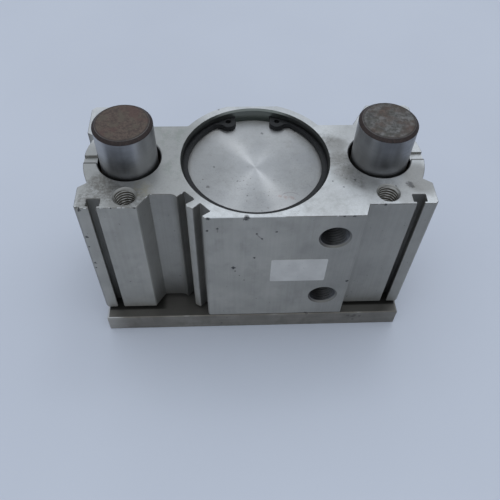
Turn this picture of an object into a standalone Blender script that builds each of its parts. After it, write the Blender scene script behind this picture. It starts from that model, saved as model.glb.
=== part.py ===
"""Three-rod guided cylinder, built the way it comes apart on a bench.

The end plate lies flat with the guide rods, the piston rod and the piston standing on it, and the
aluminium body slides up and down on them. Metres, +Z up, origin at the middle of the plate's underside,
+X along the pair of guide rods, -Y towards the air ports.
"""

import math

import bmesh
import bpy

# Clearances
SEAT_GAP = 0.0003
RUNNING_GAP = 0.00005
PRESS_GAP = 0.0001
SLIDE_GAP = 0.0002

# Travel and the three rods
STROKE = 0.025
GUIDE_ROD_DIAMETER = 0.025
GUIDE_ROD_STICK_OUT = 0.0202
GUIDE_ROD_CHAMFER = 0.0013
GUIDE_ROD_END_INSET = 0.0015
PISTON_ROD_DIAMETER = 0.020
ROD_EDGE = 0.0005

# End plate
PLATE_THICKNESS = 0.0112
PLATE_INSET = 0.0005
PLATE_END_BEVEL = 0.001
PLATE_EDGE = 0.0004
PLATE_TO_BODY = 0.0016
LOAD_HOLE_DIAMETER = 0.0085
LOAD_HOLE_OUT = 0.0075
LOAD_HOLE_Y = 0.020

# Socket-head bolts
BOLT_DIAMETER = 0.008
BOLT_HEAD_DIAMETER = 0.013
BOLT_HEAD_HEIGHT = 0.008
BOLT_HEAD_SUNK = 0.0004
BOLT_REACH = 0.014
BOLT_KEY_WIDTH = 0.006
BOLT_KEY_DEPTH = 0.004
BOLT_EDGE = 0.0005
PISTON_BOLT_DIAMETER = 0.010
PISTON_BOLT_HEAD_DIAMETER = 0.016
PISTON_BOLT_HEAD_HEIGHT = 0.0045
PISTON_BOLT_REACH = 0.014
PISTON_BOLT_KEY_WIDTH = 0.007
PISTON_BOLT_KEY_DEPTH = 0.0025

# Bore, with a wider stretch at each end for its cover
BORE_DIAMETER = 0.063
COVER_STEP = 0.0005
BORE_RIM = 0.0008
RING_THICKNESS = 0.0025
RING_WIDTH = 0.0031
RING_SHIFT = 0.0012
RING_GROOVE_DEPTH = 0.0012
RING_GAP_ANGLE = 14.2
RING_LUG_ANGLE = 22.5
RING_LUG_RADIUS = 0.0034
RING_LUG_INWARD = 0.0004
RING_LUG_FILLET = 0.003
RING_KEY_OUTWARD = 0.0005
RING_KEY_HOLE = 0.0025
RING_LAND = 0.0015
HEAD_RECESS = 0.0063
HEAD_COVER_FLANGE = 0.0067
HEAD_COVER_NOSE = 0.0013
ROD_COVER_FLANGE = 0.0112
ROD_COVER_NOSE = 0.0014
COVER_EDGE = 0.0004
NOSE_INSET = 0.004
BUMPER_THICKNESS = 0.002
BUMPER_BESIDE_BUSHING = 0.00055
BUMPER_INSET = 0.0075

# Seals
O_RING_THICKNESS = 0.0022
O_RING_GROOVE = 0.0032
O_RING_ABOVE_FLANGE = 0.0018
ROD_SEAL_HEIGHT = 0.0039
ROD_SEAL_WIDTH = 0.0036
ROD_SEAL_SHELF = 0.001
LIP_CUT = 0.6
ROD_BUSHING_WALL = 0.0014
ROD_BUSHING_HEIGHT = 0.005

# Piston, a stack of lands and grooves
PISTON_LAND = 0.0011
PISTON_WEAR_GROOVE = 0.003
PISTON_SEAL_GROOVE = 0.004
PISTON_MAGNET_GROOVE = 0.0031
PISTON_WEAR_DEPTH = 0.0016
PISTON_SEAL_DEPTH = 0.0036
PISTON_MAGNET_DEPTH = 0.0042

# Guide bushes and wipers
BUSH_WALL = 0.00235
BUSH_LENGTH = 0.018
ROD_HOLE_GAP = 0.00125
ROD_HOLE_DEPTH = 0.014
ROD_HOLE_EDGE = 0.0004
WIPER_HEIGHT = 0.0026

# Body section
WEB_WALL = 0.008
SIDE_WALL = 0.005
FRONT_WALL = 0.0025
BULGE_WALL = 0.0043
BULGE_FLAT_WALL = 0.0023
BULGE_FILLET = 0.002
BACK_WEB_WALL = 0.0057
BACK_BLOCK_FOOT = 0.009
BACK_BLOCK_TOP = 0.0006
SIDE_BLOCK_WALL = 0.0064
SIDE_BLOCK_INNER = 0.0053
SIDE_BLOCK_SLANT = 0.0047
BODY_CORNER = 0.0018
BOSS_RADIUS = 0.032
BOSS_SETBACK = 0.0005
BOSS_HALF_HEIGHT = 0.014
BOSS_NOTCH = 0.0026
SIDE_GROOVE_WIDTH = 0.0043
SIDE_GROOVE_DEPTH = 0.0012
T_SLOT_INSET = 0.0075
T_SLOT_HEAD = 0.0056
T_SLOT_NECK = 0.0032
T_SLOT_HEAD_DEPTH = 0.004
T_SLOT_LIP = 0.0012
SWITCH_SLOT_WALL = 0.0036
SWITCH_SLOT_DEPTH = 0.0044
SWITCH_SLOT_WIDTH = 0.0061
SWITCH_SLOT_UNDERCUT = 0.0008
SWITCH_SLOT_PITCH = 0.0093
SWITCH_SLOT_CORNER_WALL = 0.00089
SWITCH_RIB_CREST = 0.0006
RECESS_ROUND = 0.004
RECESS_ROUND_END = 35.0

# Tapped holes and air ports
MOUNT_HOLE_DIAMETER = 0.0085
MOUNT_HOLE_MOUTH = 0.0108
MOUNT_HOLE_DEPTH = 0.020
MOUNT_HOLE_WALL = 0.00275
PORT_DIAMETER = 0.0118
PORT_MOUTH = 0.0143
PORT_MOUTH_DEPTH = 0.0013
PORT_DEPTH = 0.013
PORT_BESIDE_BORE = 0.0015
PORT_BLOCK_MARGIN = 0.0111
PORT_BLOCK_SLANT = 0.0021
HEAD_PORT_BELOW_STEP = 0.0012
ROD_PORT_ABOVE_STEP = 0.0005
PASSAGE_DIAMETER = 0.004
PASSAGE_FROM_STEP = 0.0012

# Facets round each kind of turned piece, and along each arc of an outline
BORE_FACETS = 48
GUIDE_FACETS = 32
INNER_FACETS = 32
SMALL_FACETS = 16
PORT_FACETS = 24
PASSAGE_FACETS = 8
SEAL_FACETS = 6
BOSS_FACETS = 8
BULGE_FACETS = 10
FILLET_FACETS = 3
RECESS_FACETS = 4
RING_FACETS = 20
LUG_FACETS = 8
LUG_FILLET_FACETS = 3
KEY_HOLE_FACETS = 12

# Radii that the pieces share
BORE_RADIUS = BORE_DIAMETER / 2
COVER_BORE_RADIUS = BORE_RADIUS + COVER_STEP
COVER_RADIUS = COVER_BORE_RADIUS - SLIDE_GAP
NOSE_RADIUS = COVER_RADIUS - NOSE_INSET
RING_OUTER_RADIUS = COVER_BORE_RADIUS + RING_GROOVE_DEPTH - SLIDE_GAP
RING_INNER_RADIUS = RING_OUTER_RADIUS - RING_WIDTH
ROD_RADIUS = GUIDE_ROD_DIAMETER / 2
GUIDE_BORE_RADIUS = ROD_RADIUS + RUNNING_GAP + BUSH_WALL + PRESS_GAP
PISTON_ROD_RADIUS = PISTON_ROD_DIAMETER / 2
PISTON_RADIUS = BORE_RADIUS - SLIDE_GAP
ROD_BUSHING_RADIUS = PISTON_ROD_RADIUS + RUNNING_GAP + ROD_BUSHING_WALL
BUMPER_INNER_RADIUS = ROD_BUSHING_RADIUS + BUMPER_BESIDE_BUSHING
BUMPER_OUTER_RADIUS = BORE_RADIUS - BUMPER_INSET
PISTON_SEAL_RADIUS = BORE_RADIUS * math.cos(math.pi / BORE_FACETS) - RUNNING_GAP
O_RING_GROOVE_RADIUS = COVER_RADIUS - O_RING_THICKNESS

# Places across the body
ROD_X = COVER_BORE_RADIUS + WEB_WALL + GUIDE_BORE_RADIUS
HALF_WIDTH = ROD_X + GUIDE_BORE_RADIUS + SIDE_WALL
HALF_DEPTH = COVER_BORE_RADIUS + FRONT_WALL
MOUNT_Y = GUIDE_BORE_RADIUS + MOUNT_HOLE_WALL + MOUNT_HOLE_DIAMETER / 2
SIDE_FRONT_Y = MOUNT_Y + SIDE_BLOCK_WALL
PORT_X = BORE_RADIUS + PORT_BESIDE_BORE

# Heights from the floor up, with the body resting at the bottom of its travel
PISTON_LENGTH = 4 * PISTON_LAND + PISTON_WEAR_GROOVE + PISTON_SEAL_GROOVE + PISTON_MAGNET_GROOVE
BODY_BOTTOM = PLATE_THICKNESS + PLATE_TO_BODY
ROD_RING_BOTTOM = BODY_BOTTOM + RING_LAND + SEAT_GAP
ROD_COVER_BOTTOM = ROD_RING_BOTTOM + RING_THICKNESS + SEAT_GAP
ROD_COVER_SHOULDER = ROD_COVER_BOTTOM + ROD_COVER_FLANGE
ROD_STEP = ROD_COVER_SHOULDER + SEAT_GAP
ROD_COVER_TOP = ROD_COVER_SHOULDER + ROD_COVER_NOSE
ROD_BUMPER_BOTTOM = ROD_COVER_TOP + SEAT_GAP
PISTON_BOTTOM = ROD_BUMPER_BOTTOM + BUMPER_THICKNESS + SEAT_GAP + STROKE
PISTON_TOP = PISTON_BOTTOM + PISTON_LENGTH
HEAD_BUMPER_BOTTOM = PISTON_TOP + SEAT_GAP
HEAD_COVER_BOTTOM = HEAD_BUMPER_BOTTOM + BUMPER_THICKNESS + SEAT_GAP
HEAD_COVER_SHOULDER = HEAD_COVER_BOTTOM + HEAD_COVER_NOSE
HEAD_STEP = HEAD_COVER_SHOULDER - SEAT_GAP
HEAD_COVER_TOP = HEAD_COVER_SHOULDER + HEAD_COVER_FLANGE
HEAD_RING_BOTTOM = HEAD_COVER_TOP + SEAT_GAP
BODY_TOP = HEAD_COVER_TOP + HEAD_RECESS
HEAD_PORT_Z = HEAD_STEP - HEAD_PORT_BELOW_STEP
ROD_PORT_Z = ROD_STEP + ROD_PORT_ABOVE_STEP
ROD_HOLE_STEP = BODY_TOP - ROD_HOLE_DEPTH

# How far a cutter runs past the face that it opens
OVERSHOOT = 0.002

# Edges that turn more than this stay sharp, and edges that turn less than the other are flat
SHARP_ANGLE = math.radians(35)
FLAT_ANGLE = 0.001
WELD_DISTANCE = 1e-6


def clear_scene():
    for thing in list(bpy.data.objects):
        bpy.data.objects.remove(thing, do_unlink=True)


def new_collection(name):
    collection = bpy.data.collections.new(name)
    bpy.context.scene.collection.children.link(collection)
    return collection


def principled(name, colour, roughness, metallic):
    material = bpy.data.materials.new(name)
    material.use_nodes = True
    shader = material.node_tree.nodes["Principled BSDF"]
    shader.inputs["Base Color"].default_value = (*colour, 1.0)
    shader.inputs["Roughness"].default_value = roughness
    shader.inputs["Metallic"].default_value = metallic
    return material


def weld(mesh):
    """Joins points that coincide, clears faces without area, and merges flat neighbouring faces into one."""
    shape = bmesh.new()
    shape.from_mesh(mesh)
    bmesh.ops.remove_doubles(shape, verts=shape.verts, dist=WELD_DISTANCE)
    bmesh.ops.dissolve_degenerate(shape, dist=WELD_DISTANCE, edges=shape.edges)
    bmesh.ops.dissolve_limit(shape, angle_limit=FLAT_ANGLE, verts=shape.verts, edges=shape.edges)
    shape.to_mesh(mesh)
    shape.free()


def to_solid(guide, name):
    """Turns a guide's evaluated shape into a mesh object of its own, smooth where it is round."""
    bpy.context.scene.collection.objects.link(guide)
    bpy.context.view_layer.update()
    seen = guide.evaluated_get(bpy.context.evaluated_depsgraph_get())
    mesh = bpy.data.meshes.new_from_object(seen)
    weld(mesh)
    mesh.shade_smooth()
    mesh.set_sharp_from_angle(angle=SHARP_ANGLE)
    place = guide.matrix_world.copy()
    bpy.data.objects.remove(guide, do_unlink=True)
    solid = bpy.data.objects.new(name, mesh)
    solid.matrix_world = place
    return solid


def extruded(name, loops, bottom, top):
    """A flat outline, with its holes, given a height."""
    curve = bpy.data.curves.new(name, "CURVE")
    curve.dimensions = "2D"
    curve.fill_mode = "BOTH"
    curve.extrude = (top - bottom) / 2
    for loop in loops:
        spline = curve.splines.new("POLY")
        spline.points.add(len(loop) - 1)
        for point, (x, y) in zip(spline.points, loop):
            point.co = (x, y, 0, 1)
        spline.use_cyclic_u = True
    guide = bpy.data.objects.new(name, curve)
    guide.location.z = (bottom + top) / 2
    return to_solid(guide, name)


def turned(name, profile, facets, x=0.0, y=0.0):
    """A profile of (radius, height) points turned about a vertical axis: down its outer side, and closed
    into a ring where it doesn't start on the axis."""
    mesh = bpy.data.meshes.new(name)
    links = [(i, i + 1) for i in range(len(profile) - 1)]
    if profile[0][0] > 0:
        links.append((len(profile) - 1, 0))
    mesh.from_pydata([(radius, 0, height) for radius, height in profile], links, [])
    guide = bpy.data.objects.new(name, mesh)
    screw = guide.modifiers.new("turn", "SCREW")
    screw.steps = facets
    screw.render_steps = facets
    screw.use_merge_vertices = True
    screw.merge_threshold = WELD_DISTANCE
    guide.location = (x, y, 0)
    return to_solid(guide, name)


def ring(name, inner, outer, bottom, top, facets, x=0.0):
    """A plain ring of rectangular section."""
    section = [(inner, top), (outer, top), (outer, bottom), (inner, bottom)]
    return turned(name, section, facets, x)


def o_ring(name, middle, height):
    """A rubber ring of round section, with the section's points from top to bottom on its outer side."""
    section = []
    for i in range(SEAL_FACETS):
        angle = math.pi / 2 - 2 * math.pi * (i + 0.5) / SEAL_FACETS
        reach = (O_RING_THICKNESS - PRESS_GAP) / 2
        section.append((middle + reach * math.cos(angle), height + reach * math.sin(angle)))
    return turned(name, section, INNER_FACETS)


def cut(solid, cutter, cutters):
    """Takes the cutter's shape out of the solid."""
    cutters.objects.link(cutter)
    cutter.hide_render = True
    cutter.display_type = "WIRE"
    boolean = solid.modifiers.new(cutter.name, "BOOLEAN")
    boolean.operation = "DIFFERENCE"
    boolean.object = cutter


def arc(centre, radius, start, end, pieces):
    """Points from one angle to the other, in degrees, both ends included."""
    points = []
    for i in range(pieces + 1):
        angle = math.radians(start + (end - start) * i / pieces)
        points.append((centre[0] + radius * math.cos(angle), centre[1] + radius * math.sin(angle)))
    return points


def mirrored(points):
    """The same points on the other side of the middle plane, in the order that keeps the outline's sense."""
    return [(-x, y) for x, y in reversed(points)]


def right_side():
    """The outline's right half from the T-slot round to the middle of the back, shared by both sides."""
    slot_x = HALF_WIDTH - T_SLOT_INSET
    front = -SIDE_FRONT_Y
    lip = front + T_SLOT_LIP
    floor = lip + T_SLOT_HEAD_DEPTH
    neck = T_SLOT_NECK / 2
    head = T_SLOT_HEAD / 2
    points = [
        (slot_x - neck, front),
        (slot_x - neck, lip),
        (slot_x - head, lip),
        (slot_x - head, floor),
        (slot_x + head, floor),
        (slot_x + head, lip),
        (slot_x + neck, lip),
        (slot_x + neck, front),
        (HALF_WIDTH - BODY_CORNER, front),
        (HALF_WIDTH, front + BODY_CORNER),
        (HALF_WIDTH, -BOSS_HALF_HEIGHT - BOSS_NOTCH),
    ]
    boss_angle = math.degrees(math.asin(BOSS_HALF_HEIGHT / BOSS_RADIUS))
    boss_centre = (HALF_WIDTH - BOSS_SETBACK - BOSS_RADIUS, 0.0)
    points += arc(boss_centre, BOSS_RADIUS, -boss_angle, boss_angle, BOSS_FACETS)
    back_web = GUIDE_BORE_RADIUS + BACK_WEB_WALL
    points += [
        (HALF_WIDTH, BOSS_HALF_HEIGHT + BOSS_NOTCH),
        (HALF_WIDTH, HALF_DEPTH - BODY_CORNER),
        (HALF_WIDTH - BODY_CORNER, HALF_DEPTH),
        (ROD_X - BACK_BLOCK_TOP, HALF_DEPTH),
        (ROD_X - BACK_BLOCK_FOOT, back_web),
    ]
    bulge = COVER_BORE_RADIUS + BULGE_WALL
    fillet_y = back_web + BULGE_FILLET
    fillet_x = math.sqrt((bulge + BULGE_FILLET) ** 2 - fillet_y**2)
    fillet_end = math.degrees(math.atan2(fillet_y, fillet_x))
    points += arc((fillet_x, fillet_y), BULGE_FILLET, 270, 180 + fillet_end, FILLET_FACETS)
    flat_start = math.degrees(math.asin((COVER_BORE_RADIUS + BULGE_FLAT_WALL) / bulge))
    points += arc((0.0, 0.0), bulge, fillet_end, flat_start, BULGE_FACETS)[1:]
    return points


def front_middle():
    """The outline's front from the left side block to the right one: the recess, the two switch slots that
    lie on a line at 45 degrees, and the port block."""
    slot_floor = COVER_BORE_RADIUS + SWITCH_SLOT_WALL
    mouth = slot_floor + SWITCH_SLOT_DEPTH

    def on_slot_line(along, out):
        """A point by its distance along the line of slots and its distance out from the bore's axis."""
        diagonal = math.sqrt(0.5)
        return diagonal * (along - out), -diagonal * (along + out)

    # The line of slots ends at the port block's corner, where it meets the front face
    block_corner = HALF_DEPTH * math.sqrt(2) - mouth
    last_start = block_corner - SWITCH_SLOT_CORNER_WALL - SWITCH_SLOT_WIDTH
    first_start = last_start - SWITCH_SLOT_PITCH
    first_corner = on_slot_line(first_start, mouth)
    end = math.radians(RECESS_ROUND_END)
    round_centre = (
        first_corner[0] - RECESS_ROUND * math.cos(end),
        first_corner[1] - RECESS_ROUND * math.sin(end),
    )
    recess_floor = round_centre[1] + RECESS_ROUND
    block_x = -ROD_X + SIDE_BLOCK_INNER
    points = [(block_x, -SIDE_FRONT_Y), (block_x + SIDE_BLOCK_SLANT, recess_floor)]
    points += arc(round_centre, RECESS_ROUND, 90, RECESS_ROUND_END, RECESS_FACETS)
    for slot in range(2):
        start = first_start + slot * SWITCH_SLOT_PITCH
        far = start + SWITCH_SLOT_WIDTH
        if slot:
            points.append(on_slot_line(start, mouth))
        points += [
            on_slot_line(start, slot_floor),
            on_slot_line(far, slot_floor),
            on_slot_line(far - SWITCH_SLOT_UNDERCUT, mouth),
        ]
        if not slot:
            points.append(on_slot_line(far + SWITCH_SLOT_UNDERCUT / 2, mouth + SWITCH_RIB_CREST))
    port_right = PORT_X + PORT_BLOCK_MARGIN
    points += [
        on_slot_line(block_corner, mouth),
        (port_right, -HALF_DEPTH),
        (port_right + PORT_BLOCK_SLANT, -SIDE_FRONT_Y),
    ]
    return points


def bore_cutter():
    """The stepped bore, its two retaining-ring grooves and the small chamfer at each rim."""
    groove = COVER_BORE_RADIUS + RING_GROOVE_DEPTH
    ring_span = RING_THICKNESS + 2 * SEAT_GAP
    head_groove = HEAD_RING_BOTTOM - SEAT_GAP
    rod_groove = ROD_RING_BOTTOM - SEAT_GAP
    profile = [
        (0, BODY_TOP + OVERSHOOT),
        (COVER_BORE_RADIUS + BORE_RIM, BODY_TOP + OVERSHOOT),
        (COVER_BORE_RADIUS + BORE_RIM, BODY_TOP),
        (COVER_BORE_RADIUS, BODY_TOP - BORE_RIM),
        (COVER_BORE_RADIUS, head_groove + ring_span),
        (groove, head_groove + ring_span),
        (groove, head_groove),
        (COVER_BORE_RADIUS, head_groove),
        (COVER_BORE_RADIUS, HEAD_STEP),
        (BORE_RADIUS, HEAD_STEP),
        (BORE_RADIUS, ROD_STEP),
        (COVER_BORE_RADIUS, ROD_STEP),
        (COVER_BORE_RADIUS, rod_groove + ring_span),
        (groove, rod_groove + ring_span),
        (groove, rod_groove),
        (COVER_BORE_RADIUS, rod_groove),
        (COVER_BORE_RADIUS, BODY_BOTTOM - OVERSHOOT),
        (0, BODY_BOTTOM - OVERSHOOT),
    ]
    return turned("bore_cutter", profile, BORE_FACETS)


def guide_bore_cutter(side, x):
    """The guide rod's clearance hole at the head end and the wider bore that its bushes are pressed into."""
    hole = ROD_RADIUS + ROD_HOLE_GAP
    profile = [
        (0, BODY_TOP + OVERSHOOT),
        (hole + ROD_HOLE_EDGE, BODY_TOP + OVERSHOOT),
        (hole + ROD_HOLE_EDGE, BODY_TOP),
        (hole, BODY_TOP - ROD_HOLE_EDGE),
        (hole, ROD_HOLE_STEP),
        (GUIDE_BORE_RADIUS, ROD_HOLE_STEP),
        (GUIDE_BORE_RADIUS, BODY_BOTTOM - OVERSHOOT),
        (0, BODY_BOTTOM - OVERSHOOT),
    ]
    return turned("guide_bore_cutter_" + side, profile, GUIDE_FACETS, x)


def drilled_hole(name, radius, mouth, mouth_depth, depth, facets):
    """A blind hole down from height 0, with a countersunk mouth and the drill's pointed bottom."""
    profile = [
        (0, OVERSHOOT),
        (mouth, OVERSHOOT),
        (mouth, 0),
        (radius, -mouth_depth),
        (radius, -depth),
        (0, -depth - radius / 2),
    ]
    return turned(name, profile, facets)


def port_cutter(name, height):
    """A port's tapped hole, drilled back from the port face."""
    cutter = drilled_hole(
        name, PORT_DIAMETER / 2, PORT_MOUTH / 2, PORT_MOUTH_DEPTH, PORT_DEPTH, PORT_FACETS
    )
    cutter.rotation_euler = (math.pi / 2, 0, 0)
    cutter.location = (PORT_X, -HALF_DEPTH, height)
    return cutter


def passage_cutter(name, height):
    """The small slanting hole that leads from a port's bottom to the bore."""
    start_y = HALF_DEPTH - PORT_DEPTH + PASSAGE_DIAMETER / 4
    length = math.hypot(PORT_X, start_y) - BORE_RADIUS + PASSAGE_DIAMETER / 2
    profile = [(0, length), (PASSAGE_DIAMETER / 2, length), (PASSAGE_DIAMETER / 2, 0), (0, 0)]
    cutter = turned(name, profile, PASSAGE_FACETS)
    towards_axis = math.atan2(start_y, -PORT_X)
    cutter.rotation_euler = (0, math.pi / 2, towards_axis)
    cutter.location = (PORT_X, -start_y, height)
    return cutter


def side_groove_cutter(side, sign):
    """The shallow groove across the top face from a guide rod's hole to the side wall."""
    cutter_shape = bmesh.new()
    bmesh.ops.create_cube(cutter_shape, size=1.0)
    inner = ROD_X + ROD_RADIUS
    outer = HALF_WIDTH + OVERSHOOT
    sides = (outer - inner, SIDE_GROOVE_WIDTH, 2 * SIDE_GROOVE_DEPTH)
    bmesh.ops.scale(cutter_shape, vec=sides, verts=cutter_shape.verts)
    mesh = bpy.data.meshes.new("side_groove_cutter_" + side)
    cutter_shape.to_mesh(mesh)
    cutter_shape.free()
    cutter = bpy.data.objects.new("side_groove_cutter_" + side, mesh)
    cutter.location = (sign * (inner + outer) / 2, 0, BODY_TOP)
    return cutter


def make_body(cutters):
    right = right_side()
    outline = front_middle() + right + mirrored(right)
    body = extruded("body", [outline], BODY_BOTTOM, BODY_TOP)
    cut(body, bore_cutter(), cutters)
    for side, sign in (("left", -1), ("right", 1)):
        cut(body, guide_bore_cutter(side, sign * ROD_X), cutters)
        cut(body, side_groove_cutter(side, sign), cutters)
        for end, way in (("front", -1), ("back", 1)):
            mouth_depth = (MOUNT_HOLE_MOUTH - MOUNT_HOLE_DIAMETER) / 2
            hole = drilled_hole(
                "mount_hole_cutter_" + side + "_" + end,
                MOUNT_HOLE_DIAMETER / 2,
                MOUNT_HOLE_MOUTH / 2,
                mouth_depth,
                MOUNT_HOLE_DEPTH,
                SMALL_FACETS,
            )
            hole.location = (sign * ROD_X, way * MOUNT_Y, BODY_TOP)
            cut(body, hole, cutters)
    passage_reach = PASSAGE_FROM_STEP + PASSAGE_DIAMETER / 2
    cut(body, port_cutter("head_port_cutter", HEAD_PORT_Z), cutters)
    cut(body, port_cutter("rod_port_cutter", ROD_PORT_Z), cutters)
    cut(body, passage_cutter("head_passage_cutter", HEAD_STEP - passage_reach), cutters)
    cut(body, passage_cutter("rod_passage_cutter", ROD_STEP + passage_reach), cutters)
    return body


def retaining_ring(name, bottom):
    """An open spring ring, widest opposite its gap, with a filleted lug and a plier hole at each end."""
    lug_turn = math.radians(90 - RING_LUG_ANGLE)
    lug_reach = RING_INNER_RADIUS - RING_LUG_INWARD
    lug = (lug_reach * math.cos(lug_turn), lug_reach * math.sin(lug_turn))
    # The fillet touches the inner edge from inside and the lug from outside
    lug_from_shift = math.hypot(lug[0], lug[1] - RING_SHIFT)
    fillet_reach = RING_INNER_RADIUS - RING_LUG_FILLET
    touching = RING_LUG_RADIUS + RING_LUG_FILLET
    between = math.acos(
        (fillet_reach**2 + lug_from_shift**2 - touching**2) / (2 * fillet_reach * lug_from_shift)
    )
    fillet_turn = math.atan2(lug[1] - RING_SHIFT, lug[0]) - between
    fillet = (
        fillet_reach * math.cos(fillet_turn),
        RING_SHIFT + fillet_reach * math.sin(fillet_turn),
    )
    lug_end = math.degrees(math.atan2(fillet[1] - lug[1], fillet[0] - lug[0]))
    inner_start = math.degrees(fillet_turn)
    half = arc((0, 0), RING_OUTER_RADIUS, -90, 90 - RING_GAP_ANGLE, RING_FACETS)
    half += arc(lug, RING_LUG_RADIUS, 180 - RING_LUG_ANGLE, 360 + lug_end, LUG_FACETS)
    half += arc(fillet, RING_LUG_FILLET, 180 + lug_end, inner_start, LUG_FILLET_FACETS)[1:]
    half += arc((0, RING_SHIFT), RING_INNER_RADIUS, inner_start, -90, RING_FACETS)[1:]
    key_reach = lug_reach + RING_KEY_OUTWARD
    key = (key_reach * math.cos(lug_turn), key_reach * math.sin(lug_turn))
    hole = arc(key, RING_KEY_HOLE / 2, 0, 360, KEY_HOLE_FACETS)[:-1]
    outline = half + mirrored(half[1:-1])
    return extruded(name, [outline, hole, mirrored(hole)], bottom, bottom + RING_THICKNESS)


def cover_edge(bottom, top):
    """A cover's outer side from top to bottom: a small chamfer and the groove for its rubber ring."""
    groove_bottom = bottom + O_RING_ABOVE_FLANGE
    groove_top = groove_bottom + O_RING_GROOVE
    return [
        (COVER_RADIUS - COVER_EDGE, top),
        (COVER_RADIUS, top - COVER_EDGE),
        (COVER_RADIUS, groove_top),
        (O_RING_GROOVE_RADIUS, groove_top),
        (O_RING_GROOVE_RADIUS, groove_bottom),
        (COVER_RADIUS, groove_bottom),
        (COVER_RADIUS, bottom + COVER_EDGE),
        (COVER_RADIUS - COVER_EDGE, bottom),
    ]


def make_head_end():
    """The cover, rubber ring, bumper and retaining ring at the end that the photographed side shows."""
    profile = [(0, HEAD_COVER_TOP)]
    profile += cover_edge(HEAD_COVER_SHOULDER, HEAD_COVER_TOP)
    profile += [
        (NOSE_RADIUS, HEAD_COVER_SHOULDER),
        (NOSE_RADIUS, HEAD_COVER_BOTTOM),
        (0, HEAD_COVER_BOTTOM),
    ]
    cover = turned("head_cover", profile, BORE_FACETS)
    o_ring_middle = O_RING_GROOVE_RADIUS + (O_RING_THICKNESS + SLIDE_GAP) / 2
    o_ring_height = HEAD_COVER_SHOULDER + O_RING_ABOVE_FLANGE + O_RING_GROOVE / 2
    seal = o_ring("head_cover_seal", o_ring_middle, o_ring_height)
    bumper = ring(
        "head_bumper",
        BUMPER_INNER_RADIUS,
        BUMPER_OUTER_RADIUS,
        HEAD_BUMPER_BOTTOM,
        HEAD_BUMPER_BOTTOM + BUMPER_THICKNESS,
        INNER_FACETS,
    )
    return cover, seal, bumper, retaining_ring("head_retaining_ring", HEAD_RING_BOTTOM)


def lip_seal(name, inner, outer, bottom, height, lip_inside):
    """A seal ring with a V cut into its upper face, so that one lip leans on the surface that moves."""
    middle = (inner + outer) / 2
    relief = (outer - inner) / 8
    inner_top = inner if lip_inside else inner + relief
    outer_top = outer - relief if lip_inside else outer
    section = [
        (inner_top, bottom + height),
        (middle, bottom + LIP_CUT * height),
        (outer_top, bottom + height),
        (outer, bottom),
        (inner, bottom),
    ]
    return turned(name, section, INNER_FACETS)


def make_rod_end():
    """The rod cover with its rubber ring, rod seal and bushing, its bumper and its retaining ring."""
    hole = PISTON_ROD_RADIUS + SEAT_GAP
    seal_bottom = ROD_COVER_BOTTOM + ROD_SEAL_SHELF
    pocket = PISTON_ROD_RADIUS + RUNNING_GAP + ROD_SEAL_WIDTH + PRESS_GAP
    pocket_top = seal_bottom + ROD_SEAL_HEIGHT + 2 * SEAT_GAP
    bushing_top = ROD_COVER_TOP - SEAT_GAP
    bushing_bottom = bushing_top - ROD_BUSHING_HEIGHT
    profile = [
        (ROD_BUSHING_RADIUS + PRESS_GAP, ROD_COVER_TOP),
        (NOSE_RADIUS, ROD_COVER_TOP),
        (NOSE_RADIUS, ROD_COVER_SHOULDER),
    ]
    profile += cover_edge(ROD_COVER_BOTTOM, ROD_COVER_SHOULDER)
    profile += [
        (hole, ROD_COVER_BOTTOM),
        (hole, seal_bottom),
        (pocket, seal_bottom),
        (pocket, pocket_top),
        (hole, pocket_top),
        (hole, bushing_bottom - SEAT_GAP),
        (ROD_BUSHING_RADIUS + PRESS_GAP, bushing_bottom - SEAT_GAP),
    ]
    cover = turned("rod_cover", profile, INNER_FACETS)
    o_ring_middle = O_RING_GROOVE_RADIUS + (O_RING_THICKNESS + SLIDE_GAP) / 2
    o_ring_height = ROD_COVER_BOTTOM + O_RING_ABOVE_FLANGE + O_RING_GROOVE / 2
    cover_seal = o_ring("rod_cover_seal", o_ring_middle, o_ring_height)
    rod_seal = lip_seal(
        "rod_seal",
        PISTON_ROD_RADIUS + RUNNING_GAP,
        pocket - PRESS_GAP,
        seal_bottom + SEAT_GAP,
        ROD_SEAL_HEIGHT,
        True,
    )
    bushing = ring(
        "rod_bushing",
        PISTON_ROD_RADIUS + RUNNING_GAP,
        ROD_BUSHING_RADIUS,
        bushing_bottom,
        bushing_top,
        INNER_FACETS,
    )
    bumper = ring(
        "rod_bumper",
        BUMPER_INNER_RADIUS,
        BUMPER_OUTER_RADIUS,
        ROD_BUMPER_BOTTOM,
        ROD_BUMPER_BOTTOM + BUMPER_THICKNESS,
        INNER_FACETS,
    )
    lock = retaining_ring("rod_retaining_ring", ROD_RING_BOTTOM)
    return cover, cover_seal, rod_seal, bushing, bumper, lock


def make_guide_linings():
    """Two pressed bushes and one wiper for each guide rod."""
    inner = ROD_RADIUS + RUNNING_GAP
    outer = GUIDE_BORE_RADIUS - PRESS_GAP
    wiper_bottom = BODY_BOTTOM + SEAT_GAP
    lower_bottom = wiper_bottom + WIPER_HEIGHT + SEAT_GAP
    upper_top = ROD_HOLE_STEP - SEAT_GAP
    pieces = []
    for side, sign in (("left", -1), ("right", 1)):
        x = sign * ROD_X
        spans = (
            ("guide_bush_" + side + "_upper", upper_top - BUSH_LENGTH, upper_top),
            ("guide_bush_" + side + "_lower", lower_bottom, lower_bottom + BUSH_LENGTH),
            ("guide_wiper_" + side, wiper_bottom, wiper_bottom + WIPER_HEIGHT),
        )
        for name, bottom, top in spans:
            pieces.append(ring(name, inner, outer, bottom, top, GUIDE_FACETS, x))
    return pieces


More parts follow.
